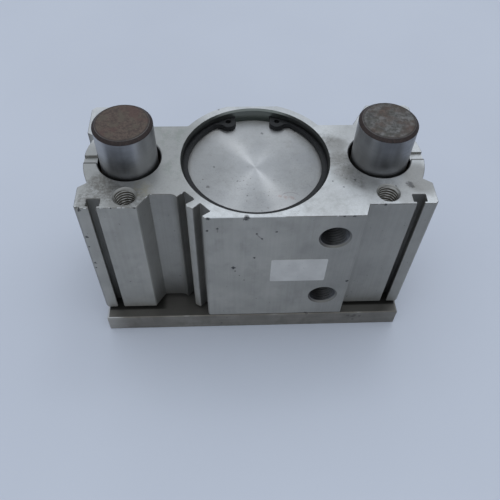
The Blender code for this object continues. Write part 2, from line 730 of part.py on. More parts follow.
def key_socket_cutter(name, width, depth, mouth):
    """A six-sided key socket that opens at the height of mouth."""
    shape = bmesh.new()
    across_corners = width / 2 / math.cos(math.pi / 6)
    bmesh.ops.create_cone(
        shape,
        cap_ends=True,
        segments=6,
        radius1=across_corners,
        radius2=across_corners,
        depth=2 * depth,
    )
    mesh = bpy.data.meshes.new(name)
    shape.to_mesh(mesh)
    shape.free()
    cutter = bpy.data.objects.new(name, mesh)
    cutter.location.z = mouth
    return cutter


def bevel_plate_ends(plate):
    """Takes the sharp edge off the upper side of the plate's left and right ends."""
    shape = bmesh.new()
    shape.from_mesh(plate.data)
    half_x = max(point.co.x for point in shape.verts)
    upper = [point for point in shape.verts if point.co.z > PLATE_THICKNESS / 2]
    ends = [
        edge
        for edge in shape.edges
        if all(point in upper for point in edge.verts)
        and abs(edge.verts[0].co.x + edge.verts[1].co.x) > half_x
    ]
    bmesh.ops.bevel(shape, geom=ends, offset=PLATE_END_BEVEL, segments=1, affect="EDGES")
    shape.to_mesh(plate.data)
    shape.free()


def make_plate(cutters):
    """The end plate, its edges broken, with counterbored bolt holes and four tapped holes for the load."""
    half_x = HALF_WIDTH - PLATE_INSET
    half_y = HALF_DEPTH - PLATE_INSET
    right = [(half_x, -half_y), (half_x, half_y)]
    plate = extruded("end_plate", [right + mirrored(right)], 0, PLATE_THICKNESS)
    bevel_plate_ends(plate)
    bevel = plate.modifiers.new("edge", "BEVEL")
    bevel.width = PLATE_EDGE
    bevel.segments = 1
    bevel.limit_method = "ANGLE"
    bevel.angle_limit = math.radians(60)
    head = BOLT_HEAD_DIAMETER / 2 + SEAT_GAP
    seat = BOLT_HEAD_SUNK + BOLT_HEAD_HEIGHT + SEAT_GAP
    shank = BOLT_DIAMETER / 2 + SEAT_GAP
    profile = [
        (0, PLATE_THICKNESS + OVERSHOOT),
        (shank, PLATE_THICKNESS + OVERSHOOT),
        (shank, seat),
        (head, seat),
        (head, -OVERSHOOT),
        (0, -OVERSHOOT),
    ]
    for place, x in (("left", -ROD_X), ("centre", 0.0), ("right", ROD_X)):
        cut(plate, turned("bolt_hole_cutter_" + place, profile, SMALL_FACETS, x), cutters)
    top = PLATE_THICKNESS + OVERSHOOT
    load = LOAD_HOLE_DIAMETER / 2
    load_profile = [(0, top), (load, top), (load, -OVERSHOOT), (0, -OVERSHOOT)]
    for side, sign in (("left", -1), ("right", 1)):
        for end, way in (("front", -1), ("back", 1)):
            name = "load_hole_cutter_" + side + "_" + end
            x = sign * (ROD_X + LOAD_HOLE_OUT)
            cut(plate, turned(name, load_profile, SMALL_FACETS, x, way * LOAD_HOLE_Y), cutters)
    return plate


def make_plate_bolt(place, x, cutters):
    """A socket-head bolt up through the plate into a rod's foot."""
    top = PLATE_THICKNESS + SEAT_GAP + BOLT_REACH
    shoulder = BOLT_HEAD_SUNK + BOLT_HEAD_HEIGHT
    shank = BOLT_DIAMETER / 2
    head = BOLT_HEAD_DIAMETER / 2
    profile = [
        (0, top),
        (shank - BOLT_EDGE, top),
        (shank, top - BOLT_EDGE),
        (shank, shoulder),
        (head, shoulder),
        (head, BOLT_HEAD_SUNK + BOLT_EDGE),
        (head - BOLT_EDGE, BOLT_HEAD_SUNK),
        (0, BOLT_HEAD_SUNK),
    ]
    bolt = turned("plate_bolt_" + place, profile, SMALL_FACETS, x)
    socket = key_socket_cutter(
        "plate_bolt_socket_" + place, BOLT_KEY_WIDTH, BOLT_KEY_DEPTH, BOLT_HEAD_SUNK
    )
    socket.location.x = x
    cut(bolt, socket, cutters)
    return bolt


def make_guide_rod(side, x):
    """A ground steel rod, chamfered at its free end and tapped at its foot for the plate's bolt."""
    foot = PLATE_THICKNESS + SEAT_GAP
    top = BODY_TOP + GUIDE_ROD_STICK_OUT
    tapped = BOLT_DIAMETER / 2 + PRESS_GAP
    hole_top = foot + BOLT_REACH + SEAT_GAP
    profile = [
        (0, top),
        (ROD_RADIUS - GUIDE_ROD_END_INSET, top),
        (ROD_RADIUS, top - GUIDE_ROD_CHAMFER),
        (ROD_RADIUS, foot + ROD_EDGE),
        (ROD_RADIUS - ROD_EDGE, foot),
        (tapped, foot),
        (tapped, hole_top),
        (0, hole_top + tapped / 2),
    ]
    return turned("guide_rod_" + side, profile, GUIDE_FACETS, x)


def make_piston_rod():
    """The piston rod, tapped at both ends."""
    foot = PLATE_THICKNESS + SEAT_GAP
    top = PISTON_BOTTOM - SEAT_GAP
    upper = PISTON_BOLT_DIAMETER / 2 + PRESS_GAP
    lower = BOLT_DIAMETER / 2 + PRESS_GAP
    upper_floor = top - PISTON_BOLT_REACH - SEAT_GAP
    lower_roof = foot + BOLT_REACH + SEAT_GAP
    profile = [
        (0, upper_floor - upper / 2),
        (upper, upper_floor),
        (upper, top),
        (PISTON_ROD_RADIUS - ROD_EDGE, top),
        (PISTON_ROD_RADIUS, top - ROD_EDGE),
        (PISTON_ROD_RADIUS, foot + ROD_EDGE),
        (PISTON_ROD_RADIUS - ROD_EDGE, foot),
        (lower, foot),
        (lower, lower_roof),
        (0, lower_roof + lower / 2),
    ]
    return turned("piston_rod", profile, INNER_FACETS)


def make_piston(cutters):
    """The piston with its wear ring, lip seal, ring magnet and the bolt that holds it to its rod."""
    wear_bottom = PISTON_BOTTOM + PISTON_LAND
    wear_top = wear_bottom + PISTON_WEAR_GROOVE
    seal_bottom = wear_top + PISTON_LAND
    seal_top = seal_bottom + PISTON_SEAL_GROOVE
    magnet_bottom = seal_top + PISTON_LAND
    magnet_top = magnet_bottom + PISTON_MAGNET_GROOVE
    head = PISTON_BOLT_HEAD_DIAMETER / 2
    shank = PISTON_BOLT_DIAMETER / 2
    head_top = PISTON_TOP - SEAT_GAP
    head_bottom = head_top - PISTON_BOLT_HEAD_HEIGHT
    profile = [(head + SEAT_GAP, PISTON_TOP)]
    grooves = (
        (magnet_top, magnet_bottom, PISTON_MAGNET_DEPTH),
        (seal_top, seal_bottom, PISTON_SEAL_DEPTH),
        (wear_top, wear_bottom, PISTON_WEAR_DEPTH),
    )
    profile.append((PISTON_RADIUS, PISTON_TOP))
    for top, bottom, depth in grooves:
        profile += [
            (PISTON_RADIUS, top),
            (PISTON_RADIUS - depth, top),
            (PISTON_RADIUS - depth, bottom),
            (PISTON_RADIUS, bottom),
        ]
    profile += [
        (PISTON_RADIUS, PISTON_BOTTOM),
        (shank + PRESS_GAP, PISTON_BOTTOM),
        (shank + PRESS_GAP, head_bottom - SEAT_GAP),
        (head + SEAT_GAP, head_bottom - SEAT_GAP),
    ]
    piston = turned("piston", profile, INNER_FACETS)
    wear = ring(
        "piston_wear_ring",
        PISTON_RADIUS - PISTON_WEAR_DEPTH + PRESS_GAP,
        PISTON_SEAL_RADIUS,
        wear_bottom + PRESS_GAP,
        wear_top - PRESS_GAP,
        INNER_FACETS,
    )
    seal = lip_seal(
        "piston_seal",
        PISTON_RADIUS - PISTON_SEAL_DEPTH + PRESS_GAP,
        PISTON_SEAL_RADIUS,
        seal_bottom + PRESS_GAP,
        PISTON_SEAL_GROOVE - 2 * PRESS_GAP,
        False,
    )
    magnet = ring(
        "piston_magnet",
        PISTON_RADIUS - PISTON_MAGNET_DEPTH + PRESS_GAP,
        PISTON_RADIUS,
        magnet_bottom + PRESS_GAP,
        magnet_top - PRESS_GAP,
        INNER_FACETS,
    )
    bolt_end = PISTON_BOTTOM - SEAT_GAP - PISTON_BOLT_REACH
    bolt = turned(
        "piston_bolt",
        [
            (0, head_top),
            (head, head_top),
            (head, head_bottom),
            (shank, head_bottom),
            (shank, bolt_end),
            (0, bolt_end),
        ],
        SMALL_FACETS,
    )
    socket = key_socket_cutter(
        "piston_bolt_socket", PISTON_BOLT_KEY_WIDTH, PISTON_BOLT_KEY_DEPTH, head_top
    )
    cut(bolt, socket, cutters)
    return piston, wear, seal, magnet, bolt


def add(pieces, carrier, finish, parts):
    """Puts finished pieces in the collection, on their carrier and in their material."""
    for piece in pieces:
        parts.objects.link(piece)
        piece.parent = carrier
        piece.data.materials.append(finish)


def main():
    clear_scene()
    parts = new_collection("three_rod_guided_cylinder")
    cutters = new_collection("cutters")
    aluminium = principled("anodised_aluminium", (0.52, 0.54, 0.55), 0.42, 1.0)
    turned_aluminium = principled("turned_aluminium", (0.66, 0.68, 0.70), 0.30, 1.0)
    ground_steel = principled("ground_steel", (0.48, 0.48, 0.50), 0.18, 1.0)
    plate_steel = principled("plate_steel", (0.30, 0.29, 0.27), 0.50, 1.0)
    black_steel = principled("black_steel", (0.03, 0.03, 0.035), 0.40, 0.6)
    bronze = principled("bearing_bronze", (0.45, 0.33, 0.18), 0.38, 1.0)
    rubber = principled("black_rubber", (0.02, 0.02, 0.02), 0.75, 0.0)
    urethane = principled("amber_urethane", (0.42, 0.26, 0.10), 0.55, 0.0)
    magnet_black = principled("bonded_magnet", (0.06, 0.06, 0.07), 0.60, 0.2)

    carriage = bpy.data.objects.new("carriage_axis", None)
    cylinder = bpy.data.objects.new("cylinder_slide_axis", None)
    for axis in (carriage, cylinder):
        parts.objects.link(axis)

    add([make_plate(cutters)], carriage, plate_steel, parts)
    rods = [make_guide_rod("left", -ROD_X), make_guide_rod("right", ROD_X), make_piston_rod()]
    add(rods, carriage, ground_steel, parts)
    for place, x in (("left", -ROD_X), ("centre", 0.0), ("right", ROD_X)):
        add([make_plate_bolt(place, x, cutters)], carriage, black_steel, parts)
    piston, wear, seal, magnet, bolt = make_piston(cutters)
    add([piston], carriage, turned_aluminium, parts)
    add([wear], carriage, urethane, parts)
    add([seal], carriage, rubber, parts)
    add([magnet], carriage, magnet_black, parts)
    add([bolt], carriage, black_steel, parts)

    add([make_body(cutters)], cylinder, aluminium, parts)
    head_cover, head_seal, head_bumper, head_lock = make_head_end()
    rod_cover, rod_cover_seal, rod_seal, bushing, rod_bumper, rod_lock = make_rod_end()
    add([head_cover, rod_cover], cylinder, turned_aluminium, parts)
    add([head_seal, rod_cover_seal, rod_seal], cylinder, rubber, parts)
    add([head_bumper, rod_bumper], cylinder, urethane, parts)
    add([head_lock, rod_lock], cylinder, black_steel, parts)
    add([bushing], cylinder, bronze, parts)
    for piece in make_guide_linings():
        add([piece], cylinder, rubber if "wiper" in piece.name else bronze, parts)


main()
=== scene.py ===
"""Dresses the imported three-rod guided cylinder for its picture.

Each new piece is a surface worked out with numpy, in millimetres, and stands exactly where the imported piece
it replaces is. The finishes read the piece's own Object coordinates, also in millimetres.
"""

import math

import bpy
import numpy as np
from mathutils import Matrix


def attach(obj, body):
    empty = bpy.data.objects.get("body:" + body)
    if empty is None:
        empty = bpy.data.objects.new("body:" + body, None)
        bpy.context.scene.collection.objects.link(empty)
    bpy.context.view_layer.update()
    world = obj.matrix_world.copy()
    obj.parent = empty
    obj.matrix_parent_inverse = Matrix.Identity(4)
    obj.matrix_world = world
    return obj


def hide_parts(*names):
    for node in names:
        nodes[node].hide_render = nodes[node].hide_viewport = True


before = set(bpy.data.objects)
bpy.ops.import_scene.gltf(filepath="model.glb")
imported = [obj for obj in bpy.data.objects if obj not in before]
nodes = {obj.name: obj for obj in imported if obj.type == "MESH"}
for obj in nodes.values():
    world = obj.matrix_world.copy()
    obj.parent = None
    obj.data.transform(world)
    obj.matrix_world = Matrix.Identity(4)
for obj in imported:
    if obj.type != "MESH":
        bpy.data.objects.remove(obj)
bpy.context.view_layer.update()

MM = 0.001

# Heights
PLATE_TOP = 11.2
BODY_BOTTOM = 12.8
BODY_TOP = 89.0
HEAD_GROOVE_TOP = 85.8
HEAD_RING_BOTTOM = 83.0
COVER_TOP = 82.7
COVER_SHOULDER = 76.0
HEAD_STEP = 75.7
ROD_STEP = 28.9
ROD_GROOVE_TOP = 17.4
ROD_RING_BOTTOM = 14.6
ROD_GROOVE_BOTTOM = 14.3
ROD_FOOT = 11.5
ROD_TOP = 109.2
ROD_SHOULDER = 107.9
BUSH_STEP = 75.0

# Across the body
ROD_X = 55.0
ROD_RADIUS = 12.5
ROD_HOLE_RADIUS = 13.75
GUIDE_BORE_RADIUS = 15.0
BORE_RADIUS = 31.5
COVER_BORE_RADIUS = 32.0
RING_GROOVE_RADIUS = 33.2
HALF_WIDTH = 75.0
HALF_DEPTH = 34.5
SIDE_FRONT_Y = 28.4
MOUNT_Y = 22.0
LOAD_X = 62.5
LOAD_Y = 20.0
PORT_X = 33.0
PORT_HEIGHTS = (74.5, 29.4)

# Threads, as the radius at the crest, the radius at the root and the pitch
M10 = (4.25, 5.0, 1.5)
PORT_THREAD = (5.8, 6.4, 1.337)

# Small sizes
EDGE = 0.2
CORNER_EASE = 0.35
SHEET_THICKNESS = 0.08
RING_THICKNESS = 2.5
LUG_TURN = 67.5
BOSS_GROOVE = 2.15
PASSAGE_RADIUS = 2.0
PASSAGE_START_Y = 22.5
LAMP_DISTANCE = 1.1
LAMP_SIZE = 0.18
THREAD_ROWS = 9
SHARP_ANGLE = math.radians(28)


# Shapes


def arc(centre, radius, start, end, pieces):
    """Points at equal angles round a centre, from one angle to the other in degrees, both included."""
    angle = np.radians(np.linspace(start, end, pieces + 1))
    return np.column_stack((centre[0] + radius * np.cos(angle), centre[1] + radius * np.sin(angle)))


def mirrored(points):
    """The points with x turned to minus x, in reversed order, which keeps the outline's sense."""
    return points[::-1] * (-1, 1)


def eased(outline, radius, pieces=3):
    """Every sharp corner of a closed outline turned into a circular arc, as the rational curve
    ((1-t)^2 a + 2t(1-t) w c + t^2 b) / ((1-t)^2 + 2t(1-t) w + t^2), with a and b at radius x tan(turn / 2) from
    the corner c and w = cos(turn / 2). A corner between sides too short for it stays sharp."""
    before = outline - np.roll(outline, 1, 0)
    after = np.roll(outline, -1, 0) - outline
    length_before = np.linalg.norm(before, axis=1)
    length_after = np.linalg.norm(after, axis=1)
    before /= length_before[:, None]
    after /= length_after[:, None]
    turn = np.arccos(np.clip((before * after).sum(1), -1, 1))
    wanted = radius * np.tan(turn / 2)
    reach = np.minimum(wanted, 0.45 * np.minimum(length_before, length_after))
    reach = np.where((turn > math.radians(20)) & (reach > 0.7 * wanted), reach, 0)[:, None, None]
    t = np.linspace(0, 1, pieces + 1)[None, :, None]
    corner = outline[:, None]
    start, end = corner - reach * before[:, None], corner + reach * after[:, None]
    weight = np.cos(turn / 2)[:, None, None] * 2 * t * (1 - t)
    points = (1 - t) ** 2 * start + weight * corner + t**2 * end
    points = (points / ((1 - t) ** 2 + weight + t**2)).reshape(-1, 2)
    gap = np.linalg.norm(points - np.roll(points, 1, 0), axis=1)
    return points[gap > 1e-6]


def inset(outline, distance):
    """A counter-clockwise closed outline moved inwards: each point goes along the mean of its two sides'
    inward normals, by the distance divided by the cosine of half the turn."""
    side = np.roll(outline, -1, 0) - outline
    side /= np.linalg.norm(side, axis=1)[:, None]
    normal = np.column_stack((-side[:, 1], side[:, 0]))
    mean = normal + np.roll(normal, 1, 0)
    return outline + 2 * distance * mean / (mean**2).sum(1)[:, None]


def strip_faces(rows, columns):
    """Quads between neighbouring rows of a grid whose columns run all the way round."""
    row, column = np.meshgrid(np.arange(rows - 1), np.arange(columns), indexing="ij")
    after = (column + 1) % columns
    here, below = row * columns, (row + 1) * columns
    return np.stack((here + column, below + column, below + after, here + after), -1).reshape(-1, 4)


def prism(outline, bottom, top, edge=EDGE):
    """A counter-clockwise outline carried down a vertical path, moved inwards by edge at both ends, which gives
    each rim a 45 degree edge, and closed by a flat face at each end."""
    rows = ((edge, top), (0, top - edge), (0, bottom + edge), (edge, bottom))
    points = np.vstack([np.column_stack((inset(outline, d), np.full(len(outline), z))) for d, z in rows])
    count = len(outline)
    faces = strip_faces(len(rows), count).tolist()
    faces.append(list(range(count)))
    faces.append(list(range(4 * count - 1, 3 * count - 1, -1)))
    return points, faces


def around(radius, height, steps):
    """A grid of points: row i and column j lie at radius r_ij, angle 2 pi j / steps and height h_i."""
    angle = np.linspace(0, 2 * np.pi, steps, endpoint=False)
    grid = np.empty((len(height), steps, 3))
    grid[..., 0] = radius * np.cos(angle)
    grid[..., 1] = radius * np.sin(angle)
    grid[..., 2] = height[:, None]
    return grid


def lathe(profile, steps, x=0.0, y=0.0):
    """A profile of (radius, height) points, down its outer side, turned about a vertical axis: row i and column
    j lie at radius r_i, angle 2 pi j / steps and height h_i. An end on the axis becomes one pole, and a profile
    that starts off the axis closes into a ring."""
    profile = np.asarray(profile, float)
    poles = profile[0, 0] == 0
    rings = profile[1:-1] if poles else np.vstack((profile, profile[:1]))
    grid = around(rings[:, :1], rings[:, 1], steps)
    return grid_shape(grid, profile[[0, -1], 1] if poles else None, (x, y, 0))


def grid_shape(grid, poles, offset):
    """A grid of rings as points and quads, with a fan to a pole above the first ring and below the last, or with
    the last ring joined to the first."""
    rows, steps = grid.shape[:2]
    column = np.arange(steps)
    after = (column + 1) % steps
    if poles is None:
        faces = strip_faces(rows, steps)
        faces[faces >= (rows - 1) * steps] -= (rows - 1) * steps
        points = grid[:-1].reshape(-1, 3)
        faces = faces.tolist()
    else:
        tips = np.array([(0, 0, poles[0]), (0, 0, poles[1])])
        points = np.vstack((grid.reshape(-1, 3), tips))
        last = (rows - 1) * steps
        upper = np.column_stack((np.full(steps, rows * steps), column, after))
        lower = np.column_stack((np.full(steps, rows * steps + 1), last + after, last + column))
        faces = strip_faces(rows, steps).tolist() + upper.tolist() + lower.tolist()
    return points + np.asarray(offset, float), faces


def tapped_hole(minor, major, pitch, depth, mouth, steps=56, taper=0.0):
    """The space of a tapped hole down from height 0. The radius at height h and angle a is minor plus the
    thread's depth times a triangle wave of h / pitch + a / 2 pi, less taper x depth below the mouth, and it is
    never inside the 45 degree countersink. The drill's cone closes the bottom."""
    count = int(depth / pitch * THREAD_ROWS)
    height = np.concatenate(([1.5, 0.0], np.linspace(-0.02, -depth, count)))
    angle = np.linspace(0, 2 * np.pi, steps, endpoint=False)
    phase = np.mod(height[:, None] / pitch + angle / (2 * np.pi), 1)
    wave = np.clip(1.25 * (1 - np.abs(2 * phase - 1)) - 0.12, 0, 1)
    fade = np.clip((height + depth) / (1.5 * pitch), 0, 1)[:, None]
    radius = minor + (major - minor) * wave * fade + taper * height[:, None]
    radius = np.maximum(radius, np.minimum(mouth, mouth + height)[:, None])
    return grid_shape(around(radius, height, steps), (1.5, -depth - 0.5 * minor), (0, 0, 0))


def block(low, high):
    """A box between two corners."""
    low, high = np.asarray(low, float), np.asarray(high, float)
    outline = np.array([(low[0], low[1]), (high[0], low[1]), (high[0], high[1]), (low[0], high[1])])
    points = np.vstack([np.column_stack((outline, np.full(4, z))) for z in (high[2], low[2])])
    return points, strip_faces(2, 4).tolist() + [[0, 1, 2, 3], [7, 6, 5, 4]]


def dent(centre, radii, steps=10):
    """The space of a small dent: an ellipsoid, as a grid of latitude and longitude."""
    tilt = np.linspace(0, np.pi, 7)
    shape = lathe(np.column_stack((np.sin(tilt), np.cos(tilt))).round(9), steps)
    return shape[0] * radii + centre, shape[1]


def moved(shape, turn=None, shift=(0, 0, 0)):
    """A shape turned by a 3 x 3 matrix and then shifted."""
    points = shape[0] if turn is None else shape[0] @ np.asarray(turn, float).T
    return points + np.asarray(shift, float), shape[1]


# Turns the axis of a hole from -Z to +Y, into the port face
INTO_FRONT = ((1, 0, 0), (0, 0, -1), (0, 1, 0))
# Turns the axis of a hole from -Z to +Z, up into an underside
INTO_UNDERSIDE = ((1, 0, 0), (0, -1, 0), (0, 0, -1))


def add_mesh(name, shape):
    """A shape in millimetres as an object in metres."""
    mesh = bpy.data.meshes.new(name)
    mesh.from_pydata((shape[0] * MM).tolist(), [], shape[1])
    mesh.validate()
    thing = bpy.data.objects.new(name, mesh)
    bpy.context.scene.collection.objects.link(thing)
    return thing


def carve(thing, cutters):
    """Takes the cutters' space out of the piece for good."""
    group = bpy.data.collections.new(thing.name + "_cutters")
    bpy.context.scene.collection.children.link(group)
    tools = [add_mesh(f"{thing.name}_cutter_{i}", shape) for i, shape in enumerate(cutters)]
    for tool in tools:
        bpy.context.scene.collection.objects.unlink(tool)
        group.objects.link(tool)
    boolean = thing.modifiers.new("carve", "BOOLEAN")
    boolean.operation = "DIFFERENCE"
    boolean.operand_type = "COLLECTION"
    boolean.collection = group
    boolean.solver = "EXACT"
    bpy.context.view_layer.update()
    seen = thing.evaluated_get(bpy.context.evaluated_depsgraph_get())
    mesh = bpy.data.meshes.new_from_object(seen)
    thing.modifiers.clear()
    thing.data = mesh
    for tool in tools:
        bpy.data.objects.remove(tool)
    bpy.data.collections.remove(group)


def dress(thing, finish, body, slot, *stands_for):
    """Shades a piece by angle and gives it its finish, its body and the nodes it stands for; its slot is not used."""
    thing.data.materials.clear()
    for part in finish if isinstance(finish, (list, tuple)) else [finish]:
        thing.data.materials.append(part)
    thing.data.shade_smooth()
    thing.data.set_sharp_from_angle(angle=SHARP_ANGLE)
    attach(thing, body)
    if stands_for:
        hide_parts(*stands_for)
    return thing


def faces_of(thing):
    """The middle and the normal of every face, as arrays."""
    count = len(thing.data.polygons)
    centre, normal = np.empty(count * 3), np.empty(count * 3)
    thing.data.polygons.foreach_get("center", centre)
    thing.data.polygons.foreach_get("normal", normal)
    return centre.reshape(-1, 3) / MM, normal.reshape(-1, 3)


# Finishes


class Finish:
    """A material: one Principled shader, and the nodes that vary its colour, roughness and relief. A place's x, y
    and z are in millimetres, and level is the height of a flat face with spots on it."""

    def __init__(self, name, metallic=0.0, roughness=0.5, level=0.0, **sockets):
        self.level = level
        self.colour = None
        self.material = bpy.data.materials.new(name)
        self.material.use_nodes = True
        self.tree = self.material.node_tree
        self.shader = self.tree.nodes["Principled BSDF"]
        self.shader.inputs["Metallic"].default_value = metallic
        self.shader.inputs["Roughness"].default_value = roughness
        for socket, value in sockets.items():
            self.shader.inputs[socket.replace("_", " ")].default_value = value
        where = self.node("ShaderNodeTexCoord").outputs["Object"]
        self.place = self.vector("MULTIPLY", where, (1000, 1000, 1000))
        self.x, self.y, self.z = [self.axis(self.place, index) for index in range(3)]
        self.facing = self.node("ShaderNodeNewGeometry").outputs["True Normal"]

    def node(self, kind, inputs=None, **settings):
        made = self.tree.nodes.new(kind)
        for key, value in settings.items():
            setattr(made, key, value)
        for key, value in (inputs or {}).items():
            if isinstance(value, bpy.types.NodeSocket):
                self.tree.links.new(value, made.inputs[key])
            else:
                made.inputs[key].default_value = value
        return made

    def vector(self, operation, a, b=(0, 0, 0)):
        return self.node("ShaderNodeVectorMath", {0: a, 1: b}, operation=operation).outputs[0]

    def measure(self, operation, a, b):
        """One number from two vectors: their DISTANCE or their DOT_PRODUCT."""
        return self.node("ShaderNodeVectorMath", {0: a, 1: b}, operation=operation).outputs[1]

    def sum(self, operation, a, b=0.0, clamp=False):
        return self.node("ShaderNodeMath", {0: a, 1: b}, operation=operation, use_clamp=clamp).outputs[0]

    def times(self, a, b):
        return self.sum("MULTIPLY", a, b)

    def either(self, a, b):
        """The greater of two masks."""
        return self.sum("MAXIMUM", a, b)

    def aside(self):
        """Distance from the part's middle plane, where x is 0."""
        return self.sum("ABSOLUTE", self.x)

    def tint(self, mask, colour):
        """Lays a colour over the finish's own where the mask is 1."""
        self.colour = self.mix(mask, self.colour, colour)

    def over(self, mask, share, colour):
        """Lays this share of a colour over the finish's own where the mask is 1."""
        self.tint(self.times(mask, share), colour)

    def axis(self, vector, index):
        return self.node("ShaderNodeSeparateXYZ", {0: vector}).outputs[index]

    def spread(self, value, low=0.3, high=0.7, start=0.0, end=1.0):
        """The value's stretch from low to high, eased into start to end."""
        inputs = {0: value, 1: low, 2: high, 3: start, 4: end}
        made = self.node("ShaderNodeMapRange", inputs, interpolation_type="SMOOTHSTEP")
        return made.outputs[0]

    def fade(self, value, low, high):
        """1 up to low, eased down to 0 at high."""
        return self.spread(value, low, high, 1.0, 0.0)

    def noise(self, scale, detail=3.0, stretch=(1, 1, 1), shift=0.0, roughness=0.55):
        """Cloudy noise with this many waves to a millimetre before it is stretched."""
        place = self.vector("MULTIPLY", self.place, stretch)
        if shift:
            place = self.vector("ADD", place, (shift, shift, shift))
        inputs = {"Vector": place, "Scale": scale, "Detail": detail, "Roughness": roughness}
        return self.node("ShaderNodeTexNoise", inputs).outputs[0]

    def mix(self, factor, a, b):
        inputs = {0: factor, 6: a if hasattr(a, "links") else (*a, 1), 7: b if hasattr(b, "links") else (*b, 1)}
        return self.node("ShaderNodeMix", inputs, data_type="RGBA").outputs[2]

    def along(self, x, y, z=0.0):
        """How far a place lies along a direction."""
        return self.measure("DOT_PRODUCT", self.place, (x, y, z))

    def away(self, x, y, fold=True):
        """Distance across from an upright axis, or from its mirror images in both middle planes too."""
        flat = self.vector("MULTIPLY", self.place, (1, 1, 0))
        if fold:
            flat = self.vector("ABSOLUTE", flat)
        return self.measure("DISTANCE", flat, (x, y, 0))

    def within(self, value, low, high, soft):
        """1 between low and high, fading to 0 over soft on both sides."""
        return self.times(self.spread(value, low - soft, low), self.fade(value, high, high + soft))

    def patches(self, spots, ragged=0.6, scale=0.35):
        """1 inside any of the spots and 0 outside, with ragged edges. A spot is (x, y, z, radius), or
        (x, y, radius) at the finish's own level."""
        shake = self.node("ShaderNodeTexNoise", {"Vector": self.place, "Scale": scale, "Detail": 3.0}).outputs[1]
        shake = self.vector("SUBTRACT", shake, (0.5, 0.5, 0.5))
        found = None
        for *middle, radius in spots:
            x, y, z = (*middle, self.level)[:3]
            wander = self.vector("MULTIPLY", shake, (2 * ragged * radius,) * 3)
            away = self.vector("ADD", self.place, wander)
            far = self.measure("DISTANCE", away, (x, y, z))
            one = self.fade(far, 0.45 * radius, radius)
            found = one if found is None else self.either(found, one)
        return found

    def stains(self, spots, scale, shift, low=0.42, high=0.64):
        """Soft mottled stains: noise that shows only inside the given spots."""
        mottle = self.spread(self.noise(scale, 5, shift=shift, roughness=0.65), low, high)
        return self.times(self.patches(spots, 0.5, 0.12), mottle)

    def scratch(self, start, end, width):
        """1 on the straight line between two points, fading to 0 at width from it."""
        start, end = np.array(start, float), np.array(end, float)
        along = end - start
        from_start = self.vector("SUBTRACT", self.place, tuple(start))
        share = self.measure("DOT_PRODUCT", from_start, tuple(along / (along @ along)))
        share = self.sum("MULTIPLY", share, 1.0, clamp=True)
        foot = self.node("ShaderNodeVectorMath", {0: tuple(along), 3: share}, operation="SCALE").outputs[0]
        gap = self.measure("DISTANCE", from_start, foot)
        return self.fade(gap, 0.3 * width, width)

    def relief(self, height, strength, distance):
        """Bumps of the given depth in millimetres."""
        inputs = {"Strength": strength, "Distance": distance * MM, "Height": height}
        if self.shader.inputs["Normal"].links:
            inputs["Normal"] = self.shader.inputs["Normal"].links[0].from_socket
        self.set("Normal", self.node("ShaderNodeBump", inputs).outputs[0])

    def set(self, socket, value):
        self.tree.links.new(value, self.shader.inputs[socket])

    def done(self, roughness):
        """Sets the colour and the roughness and hands the material over."""
        self.set("Base Color", self.colour)
        self.set("Roughness", roughness)
        return self.material


